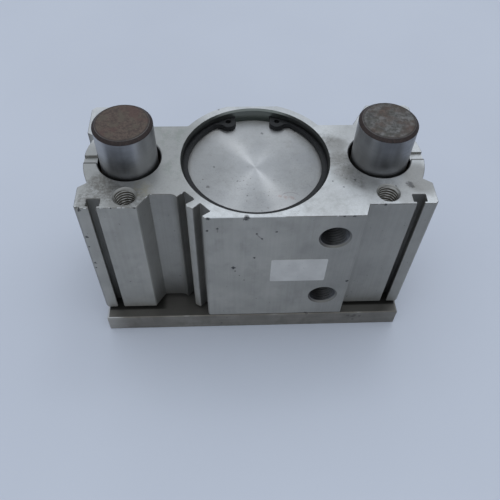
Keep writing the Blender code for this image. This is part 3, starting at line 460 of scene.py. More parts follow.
def milled_finish():
    """The body's end faces: pale machined aluminium, lightest in front of the bore, with grey film and painted sheen
    falloff darkening both sides, painted shadow left of and in front of each guide rod, a dark mottle by the right
    rod, stains and small pits."""
    f = Finish("milled_aluminium", metallic=0.85, level=BODY_TOP)
    cloud = f.noise(0.06, 4)
    grain = f.noise(1.6, 3, roughness=0.7)
    f.colour = f.mix(f.spread(cloud), (0.52, 0.54, 0.56), (0.62, 0.64, 0.66))
    f.tint(f.spread(grain, 0.35, 0.75, 0.0, 0.30), (0.34, 0.35, 0.36))
    mottle = f.noise(0.22, 5, shift=70, roughness=0.65)
    f.tint(f.spread(mottle, 0.45, 0.7, 0.0, 0.30), (0.30, 0.31, 0.31))
    # Painted sheen falloff, with grey film: the left half of the top darker.
    worn = f.patches([(-38, 6, 34), (-40, -14, 26), (-62, -8, 30), (-60, -24, 16)], 0.25, 0.06)
    f.over(worn, 0.60, (0.20, 0.20, 0.19))
    # Painted sheen falloff, with grey film: darker right of the bore and at its front right.
    worn = f.patches([(40, -9, 13), (27, -26, 14), (44, 14, 14)], 0.3, 0.08)
    f.over(worn, 0.26, (0.22, 0.22, 0.215))
    # A dark mottle left of and in front of the right rod.
    dark_mottle_by_right_rod = f.stains([(40, -9, 9), (38, -2, 7), (31.5, 9.8, 7), (43, -14, 6)], 0.6, 81, 0.34, 0.66)
    f.over(dark_mottle_by_right_rod, 0.4, (0.12, 0.115, 0.105))
    # Painted shadow of the right guide rod: smooth darker patches left of and in front of it, in two layers.
    soft = f.patches([(34, 7, 9), (36.5, -2, 9), (40, -10, 9), (47, -16, 7), (62, -22, 9)], 0.35, 0.12)
    f.over(soft, 0.40, (0.17, 0.165, 0.155))
    soft = f.patches([(39.5, -8.5, 4.5), (37.5, 0, 6), (37.5, 7, 7)], 0.5, 0.3)
    f.over(soft, 0.35, (0.16, 0.155, 0.145))
    # Painted shadow of the left guide rod: smooth darker patches left of and in front of it.
    soft = f.patches([(-65, -14.5, 6.5), (-61, -18, 5), (-57, -27, 6), (-70, -26, 5)], 0.4, 0.25)
    f.over(soft, 0.33, (0.11, 0.10, 0.085))
    film = f.patches([(69, -11.5, 9.5), (70.5, -16.5, 9)], 0.3, 0.12)
    f.over(film, 0.62, (0.17, 0.165, 0.155))
    spots = [(-64, -15.5, 9), (-67, -13.5, 7), (-61, -20, 8), (-70, -24, 7), (-52, -24, 7)]
    brown = f.stains(spots, 0.8, 33, 0.36, 0.62)
    f.over(brown, 0.5, (0.075, 0.068, 0.055))
    yellow = f.stains([(-47.6, -18.7, 6)], 0.3, 14, 0.3, 0.6)
    f.over(yellow, 0.4, (0.30, 0.27, 0.17))
    green = f.stains([(-41, 25, 8), (-38, 18, 8), (-36, 10, 7), (-34, -6, 8)], 0.3, 12)
    f.over(green, 0.35, (0.20, 0.24, 0.21))
    haze = f.stains([(12, -33, 9), (22, -31, 9), (34, -27, 8), (-20, -30, 6)], 0.4, 44)
    f.over(haze, 0.22, (0.28, 0.28, 0.28))
    speck = f.spread(f.noise(1.5, 3, shift=40), 0.62, 0.70)
    near = f.patches([(40.8, -9.8, 9), (36.5, -5, 9), (32, 10, 8), (12, -33, 6), (-62.3, -21, 9)], 0.4, 0.2)
    speck = f.times(speck, f.sum("ADD", near, 0.12, clamp=True))
    f.over(speck, 0.75, (0.09, 0.09, 0.09))
    marks = f.patches(
        [
            (31.8, 1.5, 1.5), (32.6, -1, 1.0), (64.8, -17.2, 2.0), (65.8, -18.6, 1.4),
            (-42.5, 34, 1.6), (-16, 32, 0.9), (58.8, -18.3, 0.6), (36.5, -18.5, 0.7),
            (30.1, -12, 0.6), (32.3, -15, 0.6), (-5, -34, 1.3),
            (41.9, -14.6, 0.8),
        ],
        0.9, 1.0,
    )
    f.over(marks, 0.65, (0.05, 0.05, 0.055))
    lip = f.times(f.within(f.y, -2.9, -2.2, 0.1), f.spread(f.aside(), 68, 68.4))
    f.over(lip, 0.75, (0.06, 0.06, 0.06))
    f.relief(grain, 0.25, 0.05)
    f.relief(f.noise(0.25, 2), 0.15, 0.15)
    return f.done(f.spread(cloud, 0.25, 0.75, 0.36, 0.50))


def wall_finish():
    """The extruded sides: matt grey anodised aluminium, drawn along Z, with dark nicks. Painted shade darkens it
    towards +X, in the recess and in the slots, most near the foot. Its upper edge is dull in places, rubbed bare in
    spots and painted bright as a highlight along the front."""
    f = Finish("anodised_aluminium", metallic=0.75)
    drawn = f.noise(0.9, 4, stretch=(1, 1, 0.02))
    cloud = f.noise(0.05, 4, shift=11)
    f.colour = f.mix(f.spread(cloud), (0.372, 0.366, 0.339), (0.452, 0.441, 0.408))
    f.tint(f.spread(drawn, 0.3, 0.7, 0.0, 0.05), (0.28, 0.275, 0.26))
    smear = f.noise(0.13, 5, stretch=(1, 1, 0.8), shift=90, roughness=0.6)
    f.tint(f.spread(smear, 0.45, 0.75, 0.0, 0.35), (0.24, 0.235, 0.22))
    # Painted shade: darker towards +X.
    f.tint(f.spread(f.x, 5, 45, 0.0, 0.45), (0.22, 0.22, 0.21))
    # Painted shade in the recess.
    recess = f.within(f.x, -49, -33, 0.5)
    f.over(recess, 0.45, (0.20, 0.20, 0.19))
    # Painted shade inside the switch slots and the T-slots, deepest low down.
    slots = f.times(
        f.fade(f.along(-0.7071, -0.7071), 38.8, 39.9),
        f.within(f.along(0.7071, -0.7071), -7.8, 8.2, 0.2),
    )
    across = f.aside()
    grooves = f.times(f.within(across, 64.5, 70.5, 0.2), f.within(f.y, -27.3, -22, 0.9))
    deep = f.spread(f.z, 15, 60, 0.75, 0.33)
    slot_shade = f.either(f.times(slots, 0.45), f.times(grooves, deep))
    f.tint(slot_shade, (0.035, 0.035, 0.037))
    # Painted shade low in the recess and the slots, near the foot.
    low = f.times(f.either(recess, slots), f.spread(f.z, 13, 36, 0.5, 0.0))
    f.tint(low, (0.09, 0.09, 0.09))
    rim = f.spread(f.axis(f.facing, 2), 0.3, 0.6)
    f.tint(f.times(rim, f.spread(f.x, 28, 36, 0.55, 0.9)), (0.10, 0.10, 0.10))
    # The upper edge: rubbed bare in spots, and painted bright as a highlight along the front, less so towards +X.
    rubbed = f.times(rim, f.spread(f.noise(0.5, 3, shift=7), 0.56, 0.66))
    rubbed = f.either(rubbed, f.times(rim, f.within(f.x, -20, 9, 3)))
    rubbed = f.times(rubbed, f.spread(f.x, 28, 38, 1.0, 0.25))
    f.tint(rubbed, (0.70, 0.72, 0.74))
    f.tint(f.spread(f.along(-1, 0), 73.7, 74.3, 0.0, 0.45), (0.12, 0.12, 0.125))
    nicks = f.patches(
        [
            (-21.3, -34.4, 80.8, 0.8), (-17.1, -34.4, 82, 0.7), (1.7, -34.4, 74.8, 0.7), (-0.6, -34.4, 78.2, 0.6),
            (7.7, -34.4, 79.4, 0.6), (-10.4, -34.4, 53.9, 1.2), (-9.6, -34.4, 51.3, 0.5),
            (-7.7, -34.4, 47.6, 0.4), (-5.5, -34.4, 43.8, 0.4), (43.2, -34.4, 41.4, 0.9),
            (-1.3, -34.4, 61.2, 0.7), (-5.1, -34.4, 88.2, 1.7), (34.8, -34.4, 88.8, 0.7), (38.9, -34.4, 88.8, 0.9),
            (-73.2, -28.4, 70.4, 0.9), (-73.5, -28.4, 63.3, 0.7), (-73, -28.4, 51.2, 0.5), (-73.4, -28.4, 51.2, 1.0),
            (-73.5, -28.4, 47.6, 0.6), (-72.9, -28.4, 88, 1.1), (-20.5, -34.4, 88.4, 1.0), (26.2, -34.4, 13, 0.9),
            (43.5, -28.4, 88.6, 0.6), (52.6, -28.4, 88.7, 0.8), (-50.5, -28.4, 88.7, 0.7), (-60, -28.4, 88.8, 0.6),
        ],
        1.0, 1.5,
    )
    for line in (((-16.9, -34.42, 82.6), (-17, -34.42, 79.8), 0.4), ((-0.5, -34.42, 77.5), (2.1, -34.42, 74), 0.4)):
        nicks = f.either(nicks, f.times(f.scratch(*line), 0.4))
    fine = f.spread(f.noise(0.7, 2, shift=23), 0.70, 0.76, 0.0, 0.5)
    nicks = f.either(nicks, fine)
    f.over(nicks, 0.9, (0.045, 0.045, 0.05))
    f.relief(drawn, 0.06, 0.04)
    return f.done(f.spread(drawn, 0.3, 0.7, 0.48, 0.58))


def bored_finish():
    """The insides of bores and tapped holes: cut aluminium. Painted shade makes the bore's wall near black, lighter
    on its lit back wall between the ring's lugs, darkens the guide holes' mouths round the rods and makes the ports
    near black inside. The mount holes' threads are darker in their roots near the top, and the ports' mouths are
    darker, lightest towards +X."""
    f = Finish("bored_aluminium", metallic=0.9)
    rings = f.noise(2.2, 3, stretch=(0.05, 0.05, 1))
    mouths = f.fade(f.z, 88.5, 88.7)
    film = f.noise(0.15, 3, shift=5)
    f.colour = f.mix(f.spread(film, 0.35, 0.65), (0.34, 0.35, 0.355), (0.50, 0.51, 0.52))
    # Painted shade on the bore's wall: near black, lighter on the lit back wall between the ring's lugs.
    between = f.times(f.spread(f.y, 20, 30), f.fade(f.aside(), 11, 20))
    bore_wall_shade = f.mix(between, (0.045, 0.048, 0.047), (0.19, 0.21, 0.20))
    f.tint(f.fade(f.away(0, 0), 36, 37), bore_wall_shade)
    # Painted shade: the guide holes' mouths dark, as the gap round each rod is shaded.
    f.tint(f.times(f.fade(f.away(ROD_X, 0), 15.5, 16), mouths), (0.10, 0.10, 0.10))
    from_mount = f.away(ROD_X, MOUNT_Y)
    f.tint(f.fade(from_mount, 5.6, 5.8), (0.38, 0.38, 0.37))
    roots = f.times(f.within(from_mount, 4.6, 5.02, 0.25), f.fade(f.z, 87.4, 87.7))
    f.tint(roots, (0.07, 0.063, 0.052))
    # Painted shade: the ports near black inside.
    port = f.times(f.spread(f.y, -33.8, -33.5), f.fade(f.y, -20, -16))
    port = f.times(port, f.within(f.x, 25, 41, 0.5))
    f.tint(f.times(port, f.spread(f.x, 31, 38, 0.98, 0.7)), (0.03, 0.03, 0.032))
    mouth = f.times(f.fade(f.y, -33.8, -33.5), f.within(f.x, 25, 41, 0.5))
    worn = f.mix(f.spread(f.x, 27, 33), (0.13, 0.125, 0.12), (0.25, 0.245, 0.23))
    f.tint(mouth, worn)
    f.relief(rings, 0.25, 0.02)
    return f.done(f.either(f.spread(rings, 0.3, 0.7, 0.30, 0.44), f.times(f.either(mouth, port), 0.55)))


def disc_finish():
    """The turned cover: bright aluminium with a spiral of fine tool marks, specks and a faint scuffed arc. Painted
    sheen lightens its middle and its upper left and darkens its sides and its lower right.
    """
    f = Finish("turned_aluminium", metallic=0.95, level=COVER_TOP, Anisotropic=1.0, Anisotropic_Rotation=0.25)
    radius = f.away(0, 0, False)
    rings = f.node("ShaderNodeTexNoise", {"W": radius, "Scale": 2.4, "Detail": 3.0}, noise_dimensions="1D").outputs[0]
    cloud = f.noise(0.07, 4, shift=3)
    grain = f.noise(1.3, 3, roughness=0.7, shift=15)
    f.colour = f.mix(f.spread(cloud), (0.345, 0.355, 0.372), (0.43, 0.44, 0.452))
    f.tint(f.spread(rings, 0.35, 0.7, 0.0, 0.15), (0.34, 0.35, 0.36))
    f.tint(f.spread(grain, 0.4, 0.75, 0.0, 0.35), (0.26, 0.265, 0.27))
    mottle = f.noise(0.3, 5, shift=26, roughness=0.65)
    f.tint(f.spread(mottle, 0.45, 0.75, 0.0, 0.3), (0.24, 0.24, 0.235))
    # Painted sheen: lighter at the middle and towards the upper left, darker towards the lower right and both sides.
    f.tint(f.spread(radius, 1, 17, 0.35, 0.0), (0.60, 0.615, 0.64))
    f.tint(f.spread(f.along(0.6, -0.8), 6, 24, 0.0, 0.25), (0.21, 0.215, 0.22))
    f.tint(f.spread(f.along(-0.6, 0.8), 4, 16, 0.0, 0.2), (0.60, 0.61, 0.62))
    sides = f.sum("ADD", f.spread(f.along(-1, 0), 5, 26, 0.0, 0.28), f.spread(f.x, 16, 30, 0.0, 0.05))
    f.tint(sides, (0.20, 0.205, 0.21))
    edge = f.spread(radius, 27.0, 31.5)
    f.over(edge, 0.35, (0.50, 0.485, 0.45))
    speck = f.spread(f.noise(0.8, 3, shift=60), 0.62, 0.72)
    low = f.patches([(4, -16, 13), (10, -20, 9), (-6, -10, 7), (-24, -9, 4)], 0.4, 0.2)
    speck = f.times(speck, f.sum("ADD", low, 0.25, clamp=True))
    f.over(speck, 0.75, (0.13, 0.11, 0.10))
    red = f.patches([(12.5, -18.2, 1.6), (10, -17.5, 1.1), (15, -18.5, 1.4)], 0.9, 0.9)
    f.over(red, 0.22, (0.26, 0.13, 0.10))
    off = f.measure("DISTANCE", f.place, (14.5, -20.5, COVER_TOP))
    curl = f.times(f.within(off, 5.0, 5.2, 0.4), f.spread(f.y, -17.5, -16.0))
    f.over(curl, 0.28, (0.16, 0.13, 0.13))
    dots = f.patches(
        [(-18.3, 0.5, 0.7), (-21, -11.5, 1.0), (4.3, 22.3, 0.9), (-4, -16.9, 0.6), (-8, -8.3, 0.6)],
        0.7, 1.0,
    )
    f.over(dots, 0.6, (0.10, 0.10, 0.10))
    f.set("Tangent", f.node("ShaderNodeTangent", direction_type="RADIAL", axis="Z").outputs[0])
    f.relief(rings, 0.2, 0.02)
    return f.done(f.spread(cloud, 0.25, 0.75, 0.29, 0.33))


def ring_finish():
    """Black oxidised spring steel."""
    f = Finish("black_steel", metallic=0.5)
    grain = f.noise(0.9, 3)
    f.colour = f.mix(f.spread(grain), (0.010, 0.011, 0.013), (0.026, 0.027, 0.029))
    f.relief(grain, 0.2, 0.04)
    return f.done(f.spread(grain, 0.3, 0.7, 0.45, 0.6))


def rod_finish():
    """Ground and hard-plated steel with fine rings and streaks, painted upright bands of reflection, painted lighter
    just above the body against the shade of the gap round it, and rusted ends, each its own way.
    """
    f = Finish("ground_steel")
    height = f.z
    rings = f.noise(1.4, 4, stretch=(0.06, 0.06, 1))
    film = f.noise(0.12, 3, shift=9)
    f.colour = f.mix(f.spread(film), (0.22, 0.225, 0.235), (0.29, 0.295, 0.305))
    f.tint(f.spread(rings, 0.35, 0.7, 0.0, 0.10), (0.14, 0.14, 0.145))
    streaks = f.noise(0.45, 4, stretch=(1, 1, 0.07), shift=5)
    f.tint(f.spread(streaks, 0.4, 0.7, 0.0, 0.22), (0.13, 0.13, 0.13))
    # Painted reflections: lighter upright bands on each rod.
    wiped = f.sum("ADD", f.within(f.x, -48.5, -45, 3), f.within(f.x, -65, -63, 2.5))
    wiped = f.either(wiped, f.times(f.within(f.x, 43, 47, 3), 0.5))
    f.over(wiped, 0.55, (0.55, 0.55, 0.55))
    # Painted reflections: darker upright bands down the middle of each rod.
    dark_reflection_bands = f.either(f.within(f.x, 51, 57, 4), f.times(f.within(f.x, -58, -54, 4), 0.4))
    f.over(dark_reflection_bands, 0.42, (0.08, 0.08, 0.08))
    # Painted light: lighter just above the body's top, against the shade of the gap round the rod.
    f.tint(f.spread(height, 88, 95, 0.6, 0.0), (0.45, 0.45, 0.46))
    blotch = f.noise(0.22, 5, shift=31)
    pits = f.noise(0.9, 4, shift=17, roughness=0.7)
    rust = f.mix(f.spread(pits, 0.35, 0.65), (0.048, 0.032, 0.027), (0.102, 0.072, 0.058))
    rust = f.mix(f.spread(blotch, 0.48, 0.62, 0.0, 0.7), rust, (0.088, 0.072, 0.055))
    rust = f.mix(f.spread(f.noise(0.13, 4, shift=63), 0.55, 0.65, 0.0, 0.6), rust, (0.080, 0.042, 0.036))
    pale = f.spread(f.noise(0.4, 5, shift=58, roughness=0.7), 0.36, 0.68)
    pale = f.mix(pale, (0.045, 0.043, 0.042), (0.165, 0.165, 0.165))
    grey = f.mix(f.spread(f.noise(0.14, 4, shift=51), 0.34, 0.60), rust, pale)
    grey = f.mix(f.spread(f.noise(0.3, 4, shift=77), 0.48, 0.66, 0.0, 0.6), grey, (0.045, 0.043, 0.034))
    end = f.mix(f.spread(f.x, -1, 1), rust, grey)
    rim = f.within(f.sum("MINIMUM", f.away(-ROD_X, 0, False), f.away(ROD_X, 0, False)), 10.6, 12, 0.35)
    end = f.mix(f.times(rim, 0.6), end, (0.022, 0.015, 0.014))
    band = f.mix(f.spread(pits), (0.014, 0.008, 0.008), (0.034, 0.020, 0.018))
    dull = f.spread(height, ROD_SHOULDER - 0.35, ROD_SHOULDER)
    chamfer = f.times(dull, f.fade(height, ROD_TOP - 0.3, ROD_TOP - 0.02))
    capped = f.spread(height, ROD_TOP - 0.3, ROD_TOP - 0.02)
    f.tint(chamfer, band)
    f.tint(capped, end)
    f.set("Metallic", f.sum("SUBTRACT", 1.0, f.times(dull, 0.9)))
    shine = f.spread(rings, 0.3, 0.7, 0.34, 0.44)
    f.relief(rings, 0.04, 0.01)
    f.relief(f.times(pits, dull), 0.5, 0.12)
    return f.done(f.either(shine, f.times(dull, 0.62)))


def plate_finish():
    """The end plate: drawn steel gone warm brown-grey, paler at its left end and darker to the right. Its upper face
    is painted dull dark as shade, and painted black as contact shadow along the foot of the side blocks. Its upper
    edge is rubbed bright here and there, and painted bright as a highlight at its left end."""
    f = Finish("plate_steel", metallic=0.7)
    drawn = f.noise(0.7, 4, stretch=(0.06, 1, 1))
    cloud = f.noise(0.07, 4, shift=13)
    f.colour = f.mix(f.spread(cloud), (0.215, 0.20, 0.175), (0.275, 0.258, 0.228))
    f.tint(f.spread(drawn, 0.35, 0.7, 0.0, 0.25), (0.18, 0.175, 0.16))
    mottle = f.noise(0.2, 5, stretch=(1, 1, 0.6), shift=37, roughness=0.65)
    f.tint(f.spread(mottle, 0.45, 0.7, 0.0, 0.4), (0.13, 0.118, 0.098))
    f.tint(f.spread(f.x, -75, -60, 0.75, 0.0), (0.44, 0.42, 0.385))
    f.tint(f.spread(f.x, 20, 65, 0.0, 0.35), (0.15, 0.145, 0.13))
    # The upper face: painted dull dark as shade, and painted black as contact shadow under the side blocks.
    up = f.axis(f.facing, 2)
    contact_shadow = f.times(f.spread(f.y, -29.8, -28.9), f.spread(f.aside(), 43.5, 47))
    foot = f.mix(contact_shadow, (0.105, 0.102, 0.097), (0.012, 0.012, 0.012))
    f.tint(f.spread(up, 0.9, 0.95, 0.0, 0.9), foot)
    # The upper edge: rubbed bright in spots, and painted bright as a highlight at the left end.
    rim = f.within(up, 0.6, 0.8, 0.1)
    worn = f.either(f.fade(f.x, -71, -65), f.spread(f.noise(0.12, 4, shift=19), 0.55, 0.70, 0.0, 0.3))
    f.tint(f.times(rim, worn), (0.60, 0.60, 0.60))
    marks = f.patches(
        [
            (49, -33.6, 8, 1.6), (52, -33.6, 7.8, 1.8), (55, -33.6, 7.7, 1.4), (52.2, -33.6, 4.2, 1.0),
            (-13.7, -33.6, 8.7, 0.8), (-16.5, -33.6, 3.6, 0.8), (27, -33.6, 10.9, 1.3),
        ],
        0.9, 0.6,
    )
    f.over(marks, 0.55, (0.05, 0.045, 0.04))
    f.relief(drawn, 0.2, 0.04)
    return f.done(f.spread(drawn, 0.3, 0.7, 0.36, 0.50))


def sticker_finish():
    """A bare silver-white sticker, a little crazed and faintly yellowed."""
    f = Finish("blank_sticker", metallic=0.15)
    cloud = f.noise(0.12, 3, shift=2)
    f.colour = f.mix(f.spread(cloud), (0.525, 0.52, 0.505), (0.61, 0.605, 0.585))
    flaws = f.spread(f.noise(0.8, 3, shift=29), 0.66, 0.72, 0.0, 0.5)
    f.tint(flaws, (0.35, 0.35, 0.34))
    f.relief(f.noise(0.3, 2), 0.15, 0.05)
    return f.done(f.spread(cloud, 0.3, 0.7, 0.32, 0.42))


def plain_finish(name, dark, light, metallic, low, high):
    """A finish with a soft mottle between two colours, and a slight grain."""
    f = Finish(name, metallic=metallic)
    mottle = f.noise(0.4, 4)
    f.relief(f.noise(1.2, 3, shift=8), 0.2, 0.04)
    f.colour = f.mix(f.spread(mottle), dark, light)
    return f.done(f.spread(mottle, 0.3, 0.7, low, high))


MILLED = milled_finish()
WALL = wall_finish()
BORED = bored_finish()
DISC = disc_finish()
RING = ring_finish()
ROD = rod_finish()
PLATE = plate_finish()
STICKER = sticker_finish()
BRONZE = plain_finish("bearing_bronze", (0.30, 0.19, 0.08), (0.48, 0.33, 0.16), 0.95, 0.28, 0.42)
RUBBER = plain_finish("black_rubber", (0.012, 0.012, 0.012), (0.026, 0.026, 0.027), 0.0, 0.55, 0.75)
URETHANE = plain_finish("amber_urethane", (0.32, 0.17, 0.05), (0.44, 0.26, 0.09), 0.0, 0.35, 0.5)
MAGNET = plain_finish("bonded_magnet", (0.03, 0.03, 0.034), (0.06, 0.06, 0.066), 0.3, 0.45, 0.65)
COVER = plain_finish("cover_aluminium", (0.50, 0.51, 0.52), (0.62, 0.63, 0.64), 0.95, 0.30, 0.42)


# The extruded body


def body_outline():
    """The section, counter-clockwise from the left side block's front: recess, two switch slots on a line at
    45 degrees, port block, right side with its T-slot and boss, and the back with its bulge round the bore."""
    along = np.array([-7.5, -7.5, -1.4, -2.2, -1.0, 1.8, 1.8, 7.9, 7.1, 8.79])
    out = np.array([40.0, 35.6, 35.6, 40.0, 40.6, 40.0, 35.6, 35.6, 40.0, 40.0])
    slots = np.column_stack((along - out, -along - out)) * math.sqrt(0.5)
    end = math.radians(35)
    centre = slots[0] - 4 * np.array([math.cos(end), math.sin(end)])
    front = np.vstack([
        [(-49.7, -SIDE_FRONT_Y), (-45.0, centre[1] + 4)],
        arc(centre, 4, 90, 35, 12),
        slots[1:-1],
        [(slots[-1][0], -HALF_DEPTH + SHEET_THICKNESS), (44.1, -HALF_DEPTH + SHEET_THICKNESS)],
        [(46.2, -SIDE_FRONT_Y)],
    ])
    boss_x, boss_radius, boss_reach = 42.5, 32, 14
    bulge, bulge_flat, neck_y, fillet = 36.3, 34.3, 20.7, 2
    foot = math.degrees(math.asin(boss_reach / boss_radius))
    fillet_y = neck_y + fillet
    fillet_x = math.sqrt((bulge + fillet) ** 2 - fillet_y**2)
    fillet_end = math.degrees(math.atan2(fillet_y, fillet_x))
    flat = math.degrees(math.asin(bulge_flat / bulge))
    right = np.vstack([
        [(65.9, -28.4), (65.9, -27.2), (64.7, -27.2), (64.7, -23.2)],
        [(70.3, -23.2), (70.3, -27.2), (69.1, -27.2), (69.1, -28.4)],
        [(73.9, -28.4), (75, -27.3), (75, -16.6)],
        arc((boss_x, 0), boss_radius, -foot, foot, 40),
        [(75, 16.6), (75, 32.7), (73.2, 34.5), (54.4, 34.5), (46, neck_y)],
        arc((fillet_x, fillet_y), fillet, 270, 180 + fillet_end, 10),
        arc((0, 0), bulge, fillet_end, flat, 32)[1:],
    ])
    return np.vstack((front, right, mirrored(right)))


def bore_space():
    """The stepped bore with its two ring grooves, its rims eased."""
    groove, cover = RING_GROOVE_RADIUS, COVER_BORE_RADIUS
    profile = [
        (0, BODY_TOP + 2), (cover + 0.8, BODY_TOP + 2), (cover + 0.8, BODY_TOP), (cover, BODY_TOP - 0.8),
        (cover, HEAD_GROOVE_TOP), (groove, HEAD_GROOVE_TOP), (groove, COVER_TOP), (cover, COVER_TOP),
        (cover, HEAD_STEP), (BORE_RADIUS, HEAD_STEP), (BORE_RADIUS, ROD_STEP), (cover, ROD_STEP),
        (cover, ROD_GROOVE_TOP), (groove, ROD_GROOVE_TOP), (groove, ROD_GROOVE_BOTTOM), (cover, ROD_GROOVE_BOTTOM),
        (cover, BODY_BOTTOM - 2), (0, BODY_BOTTOM - 2),
    ]
    return lathe(profile, 180)


def guide_space(x):
    """A guide rod's hole at the head end, and the wider bore for its bushes below. The hole's mouth lies 0.3 further
    back than the bore, as its crescent in the photograph does."""
    profile = [
        (0, BODY_TOP + 2), (ROD_HOLE_RADIUS + 0.45, BODY_TOP + 2), (ROD_HOLE_RADIUS + 0.45, BODY_TOP),
        (ROD_HOLE_RADIUS, BODY_TOP - 0.45), (ROD_HOLE_RADIUS, BUSH_STEP), (GUIDE_BORE_RADIUS, BUSH_STEP),
        (GUIDE_BORE_RADIUS, BODY_BOTTOM - 2), (0, BODY_BOTTOM - 2),
    ]
    points, faces = lathe(profile, 96, x)
    points[:, 1] += 0.3 * (points[:, 2] > BUSH_STEP)
    return points, faces


def passage_space(height):
    """The small slanting hole from a port's bottom towards the bore's axis."""
    start = np.array([PORT_X, -PASSAGE_START_Y, height])
    way = np.array([-PORT_X, PASSAGE_START_Y, 0]) / math.hypot(PORT_X, PASSAGE_START_Y)
    side = np.cross((0, 0, 1), way)
    tube = lathe([(0, 10), (PASSAGE_RADIUS, 10), (PASSAGE_RADIUS, 0), (0, 0)], 24)
    return moved(tube, np.column_stack((side, np.cross(way, side), way)), start)


def make_body():
    """The outline carried down as a prism, less the turned bores, the passages, the threads and the chips."""
    bores = [bore_space(), guide_space(-ROD_X), guide_space(ROD_X)]
    spaces = []
    for side in (-1, 1):
        low, high = sorted((side * (ROD_X + ROD_RADIUS), side * (HALF_WIDTH + 2)))
        spaces.append(block((low, -BOSS_GROOVE, BODY_TOP - 1.2), (high, BOSS_GROOVE, BODY_TOP + 3)))
        for way in (-1, 1):
            hole = tapped_hole(*M10, depth=20, mouth=5.1)
            spaces.append(moved(hole, shift=(side * ROD_X, way * MOUNT_Y, BODY_TOP)))
    for height in PORT_HEIGHTS:
        port = tapped_hole(*PORT_THREAD, depth=13, mouth=7.1, steps=72, taper=0.03)
        spaces.append(moved(port, INTO_FRONT, (PORT_X, -HALF_DEPTH + SHEET_THICKNESS, height)))
    passages = [passage_space(HEAD_STEP - 3.2), passage_space(ROD_STEP + 3.2)]
    chips = (
        ((-5.1, -34.6, 88.9), (1.1, 0.7, 0.9)), ((38.9, -34.6, 89.1), (0.9, 0.5, 0.5)),
        ((34.8, -34.6, 89.1), (0.6, 0.45, 0.4)), ((-73.4, -28.1, 89), (1.0, 0.8, 0.9)),
        ((52.6, -28.5, 89.1), (0.6, 0.5, 0.5)), ((-42.5, 21.2, 89.1), (1.0, 0.6, 0.4)),
        ((-10.4, -34.5, 53.9), (0.35, 0.25, 0.8)), ((26.2, -34.5, 12.9), (0.8, 0.4, 0.5)),
        ((-20.9, -34.5, 88.9), (0.6, 0.4, 0.5)), ((31.9, 2.5, 89.1), (0.9, 0.7, 0.5)),
    )
    dents = [dent(np.array(centre), np.array(radii)) for centre, radii in chips]
    body = add_mesh("extruded_body", prism(eased(body_outline(), CORNER_EASE), BODY_BOTTOM, BODY_TOP))
    for group in (bores, passages, spaces, dents):
        carve(body, group)
    dress(body, (WALL, MILLED, BORED), "cylinder", "body_aluminium", "body")
    centre, normal = faces_of(body)
    finish = np.zeros(len(centre), np.int32)
    finish[np.abs(normal[:, 2]) > 0.98] = 1
    radius = np.hypot(centre[:, 0], centre[:, 1])
    from_rod = np.hypot(np.abs(centre[:, 0]) - ROD_X, centre[:, 1])
    from_mount = np.hypot(np.abs(centre[:, 0]) - ROD_X, np.abs(centre[:, 1]) - MOUNT_Y)
    heights = np.array(PORT_HEIGHTS)
    from_port = np.hypot(centre[:, :1] - PORT_X, centre[:, 2:] - heights).min(1)
    below = centre[:, 2] < BODY_TOP - 0.01
    inside = (radius < 33.3) | (from_rod < 15.1) | (from_mount < 5.5)
    in_port = (from_port < 7.2) & (centre[:, 1] > -HALF_DEPTH + SHEET_THICKNESS + 0.01) & (centre[:, 1] < -15)
    finish[(inside & below & (centre[:, 2] > BODY_BOTTOM + 0.01)) | in_port] = 2
    body.data.polygons.foreach_set("material_index", finish)


# The head end


def make_cover():
    """The head cover: a flat turned disc with an eased rim, a ring groove round it and a nose below."""
    rim = arc((31.4, COVER_TOP - 0.4), 0.4, 90, 0, 4)
    profile = np.vstack([
        [(0, COVER_TOP)], [(8, COVER_TOP), (16, COVER_TOP), (24, COVER_TOP)], rim,
        [(31.8, 81.0), (29.6, 81.0), (29.6, 77.8), (31.8, 77.8), (31.8, 76.4), (31.4, COVER_SHOULDER)],
        [(27.8, COVER_SHOULDER), (27.8, 74.7), (0, 74.7)],
    ])
    cover = add_mesh("turned_cover", lathe(profile, 180))
    dress(cover, DISC, "cylinder", "cover_aluminium", "head_cover")


def ring_outline(pieces):
    """An open ring, its gap towards +Y: an outer circle of radius 33, a lug of radius 3.4 at each end, a fillet of
    radius 3 that touches the lug from outside and the inner edge from inside, which gives a triangle of known
    sides, and an inner circle of radius 29.9 whose centre lies 1.2 towards the gap."""
    outer, inner, shift = 33.0, 29.9, 1.2
    lug_radius, lug_reach, bend = 3.4, 29.5, 3.0
    turn = math.radians(LUG_TURN)
    lug = lug_reach * np.array([math.cos(turn), math.sin(turn)])
    middle = np.array([0, shift])
    away = math.hypot(*(lug - middle))
    to_bend, to_lug = inner - bend, lug_radius + bend
    between = math.acos((to_bend**2 + away**2 - to_lug**2) / (2 * to_bend * away))
    start = math.atan2(lug[1] - shift, lug[0]) - between
    fillet = middle + to_bend * np.array([math.cos(start), math.sin(start)])
    lug_end = math.degrees(math.atan2(fillet[1] - lug[1], fillet[0] - lug[0]))
    start = math.degrees(start)
    half = np.vstack([
        arc((0, 0), outer, -90, 75.8, pieces),
        arc(lug, lug_radius, 157.5, 360 + lug_end, 28),
        arc(fillet, bend, 180 + lug_end, start, 14)[1:],
        arc(middle, inner, start, -90, pieces)[1:],
    ])
    return np.vstack((half, mirrored(half[1:-1])))


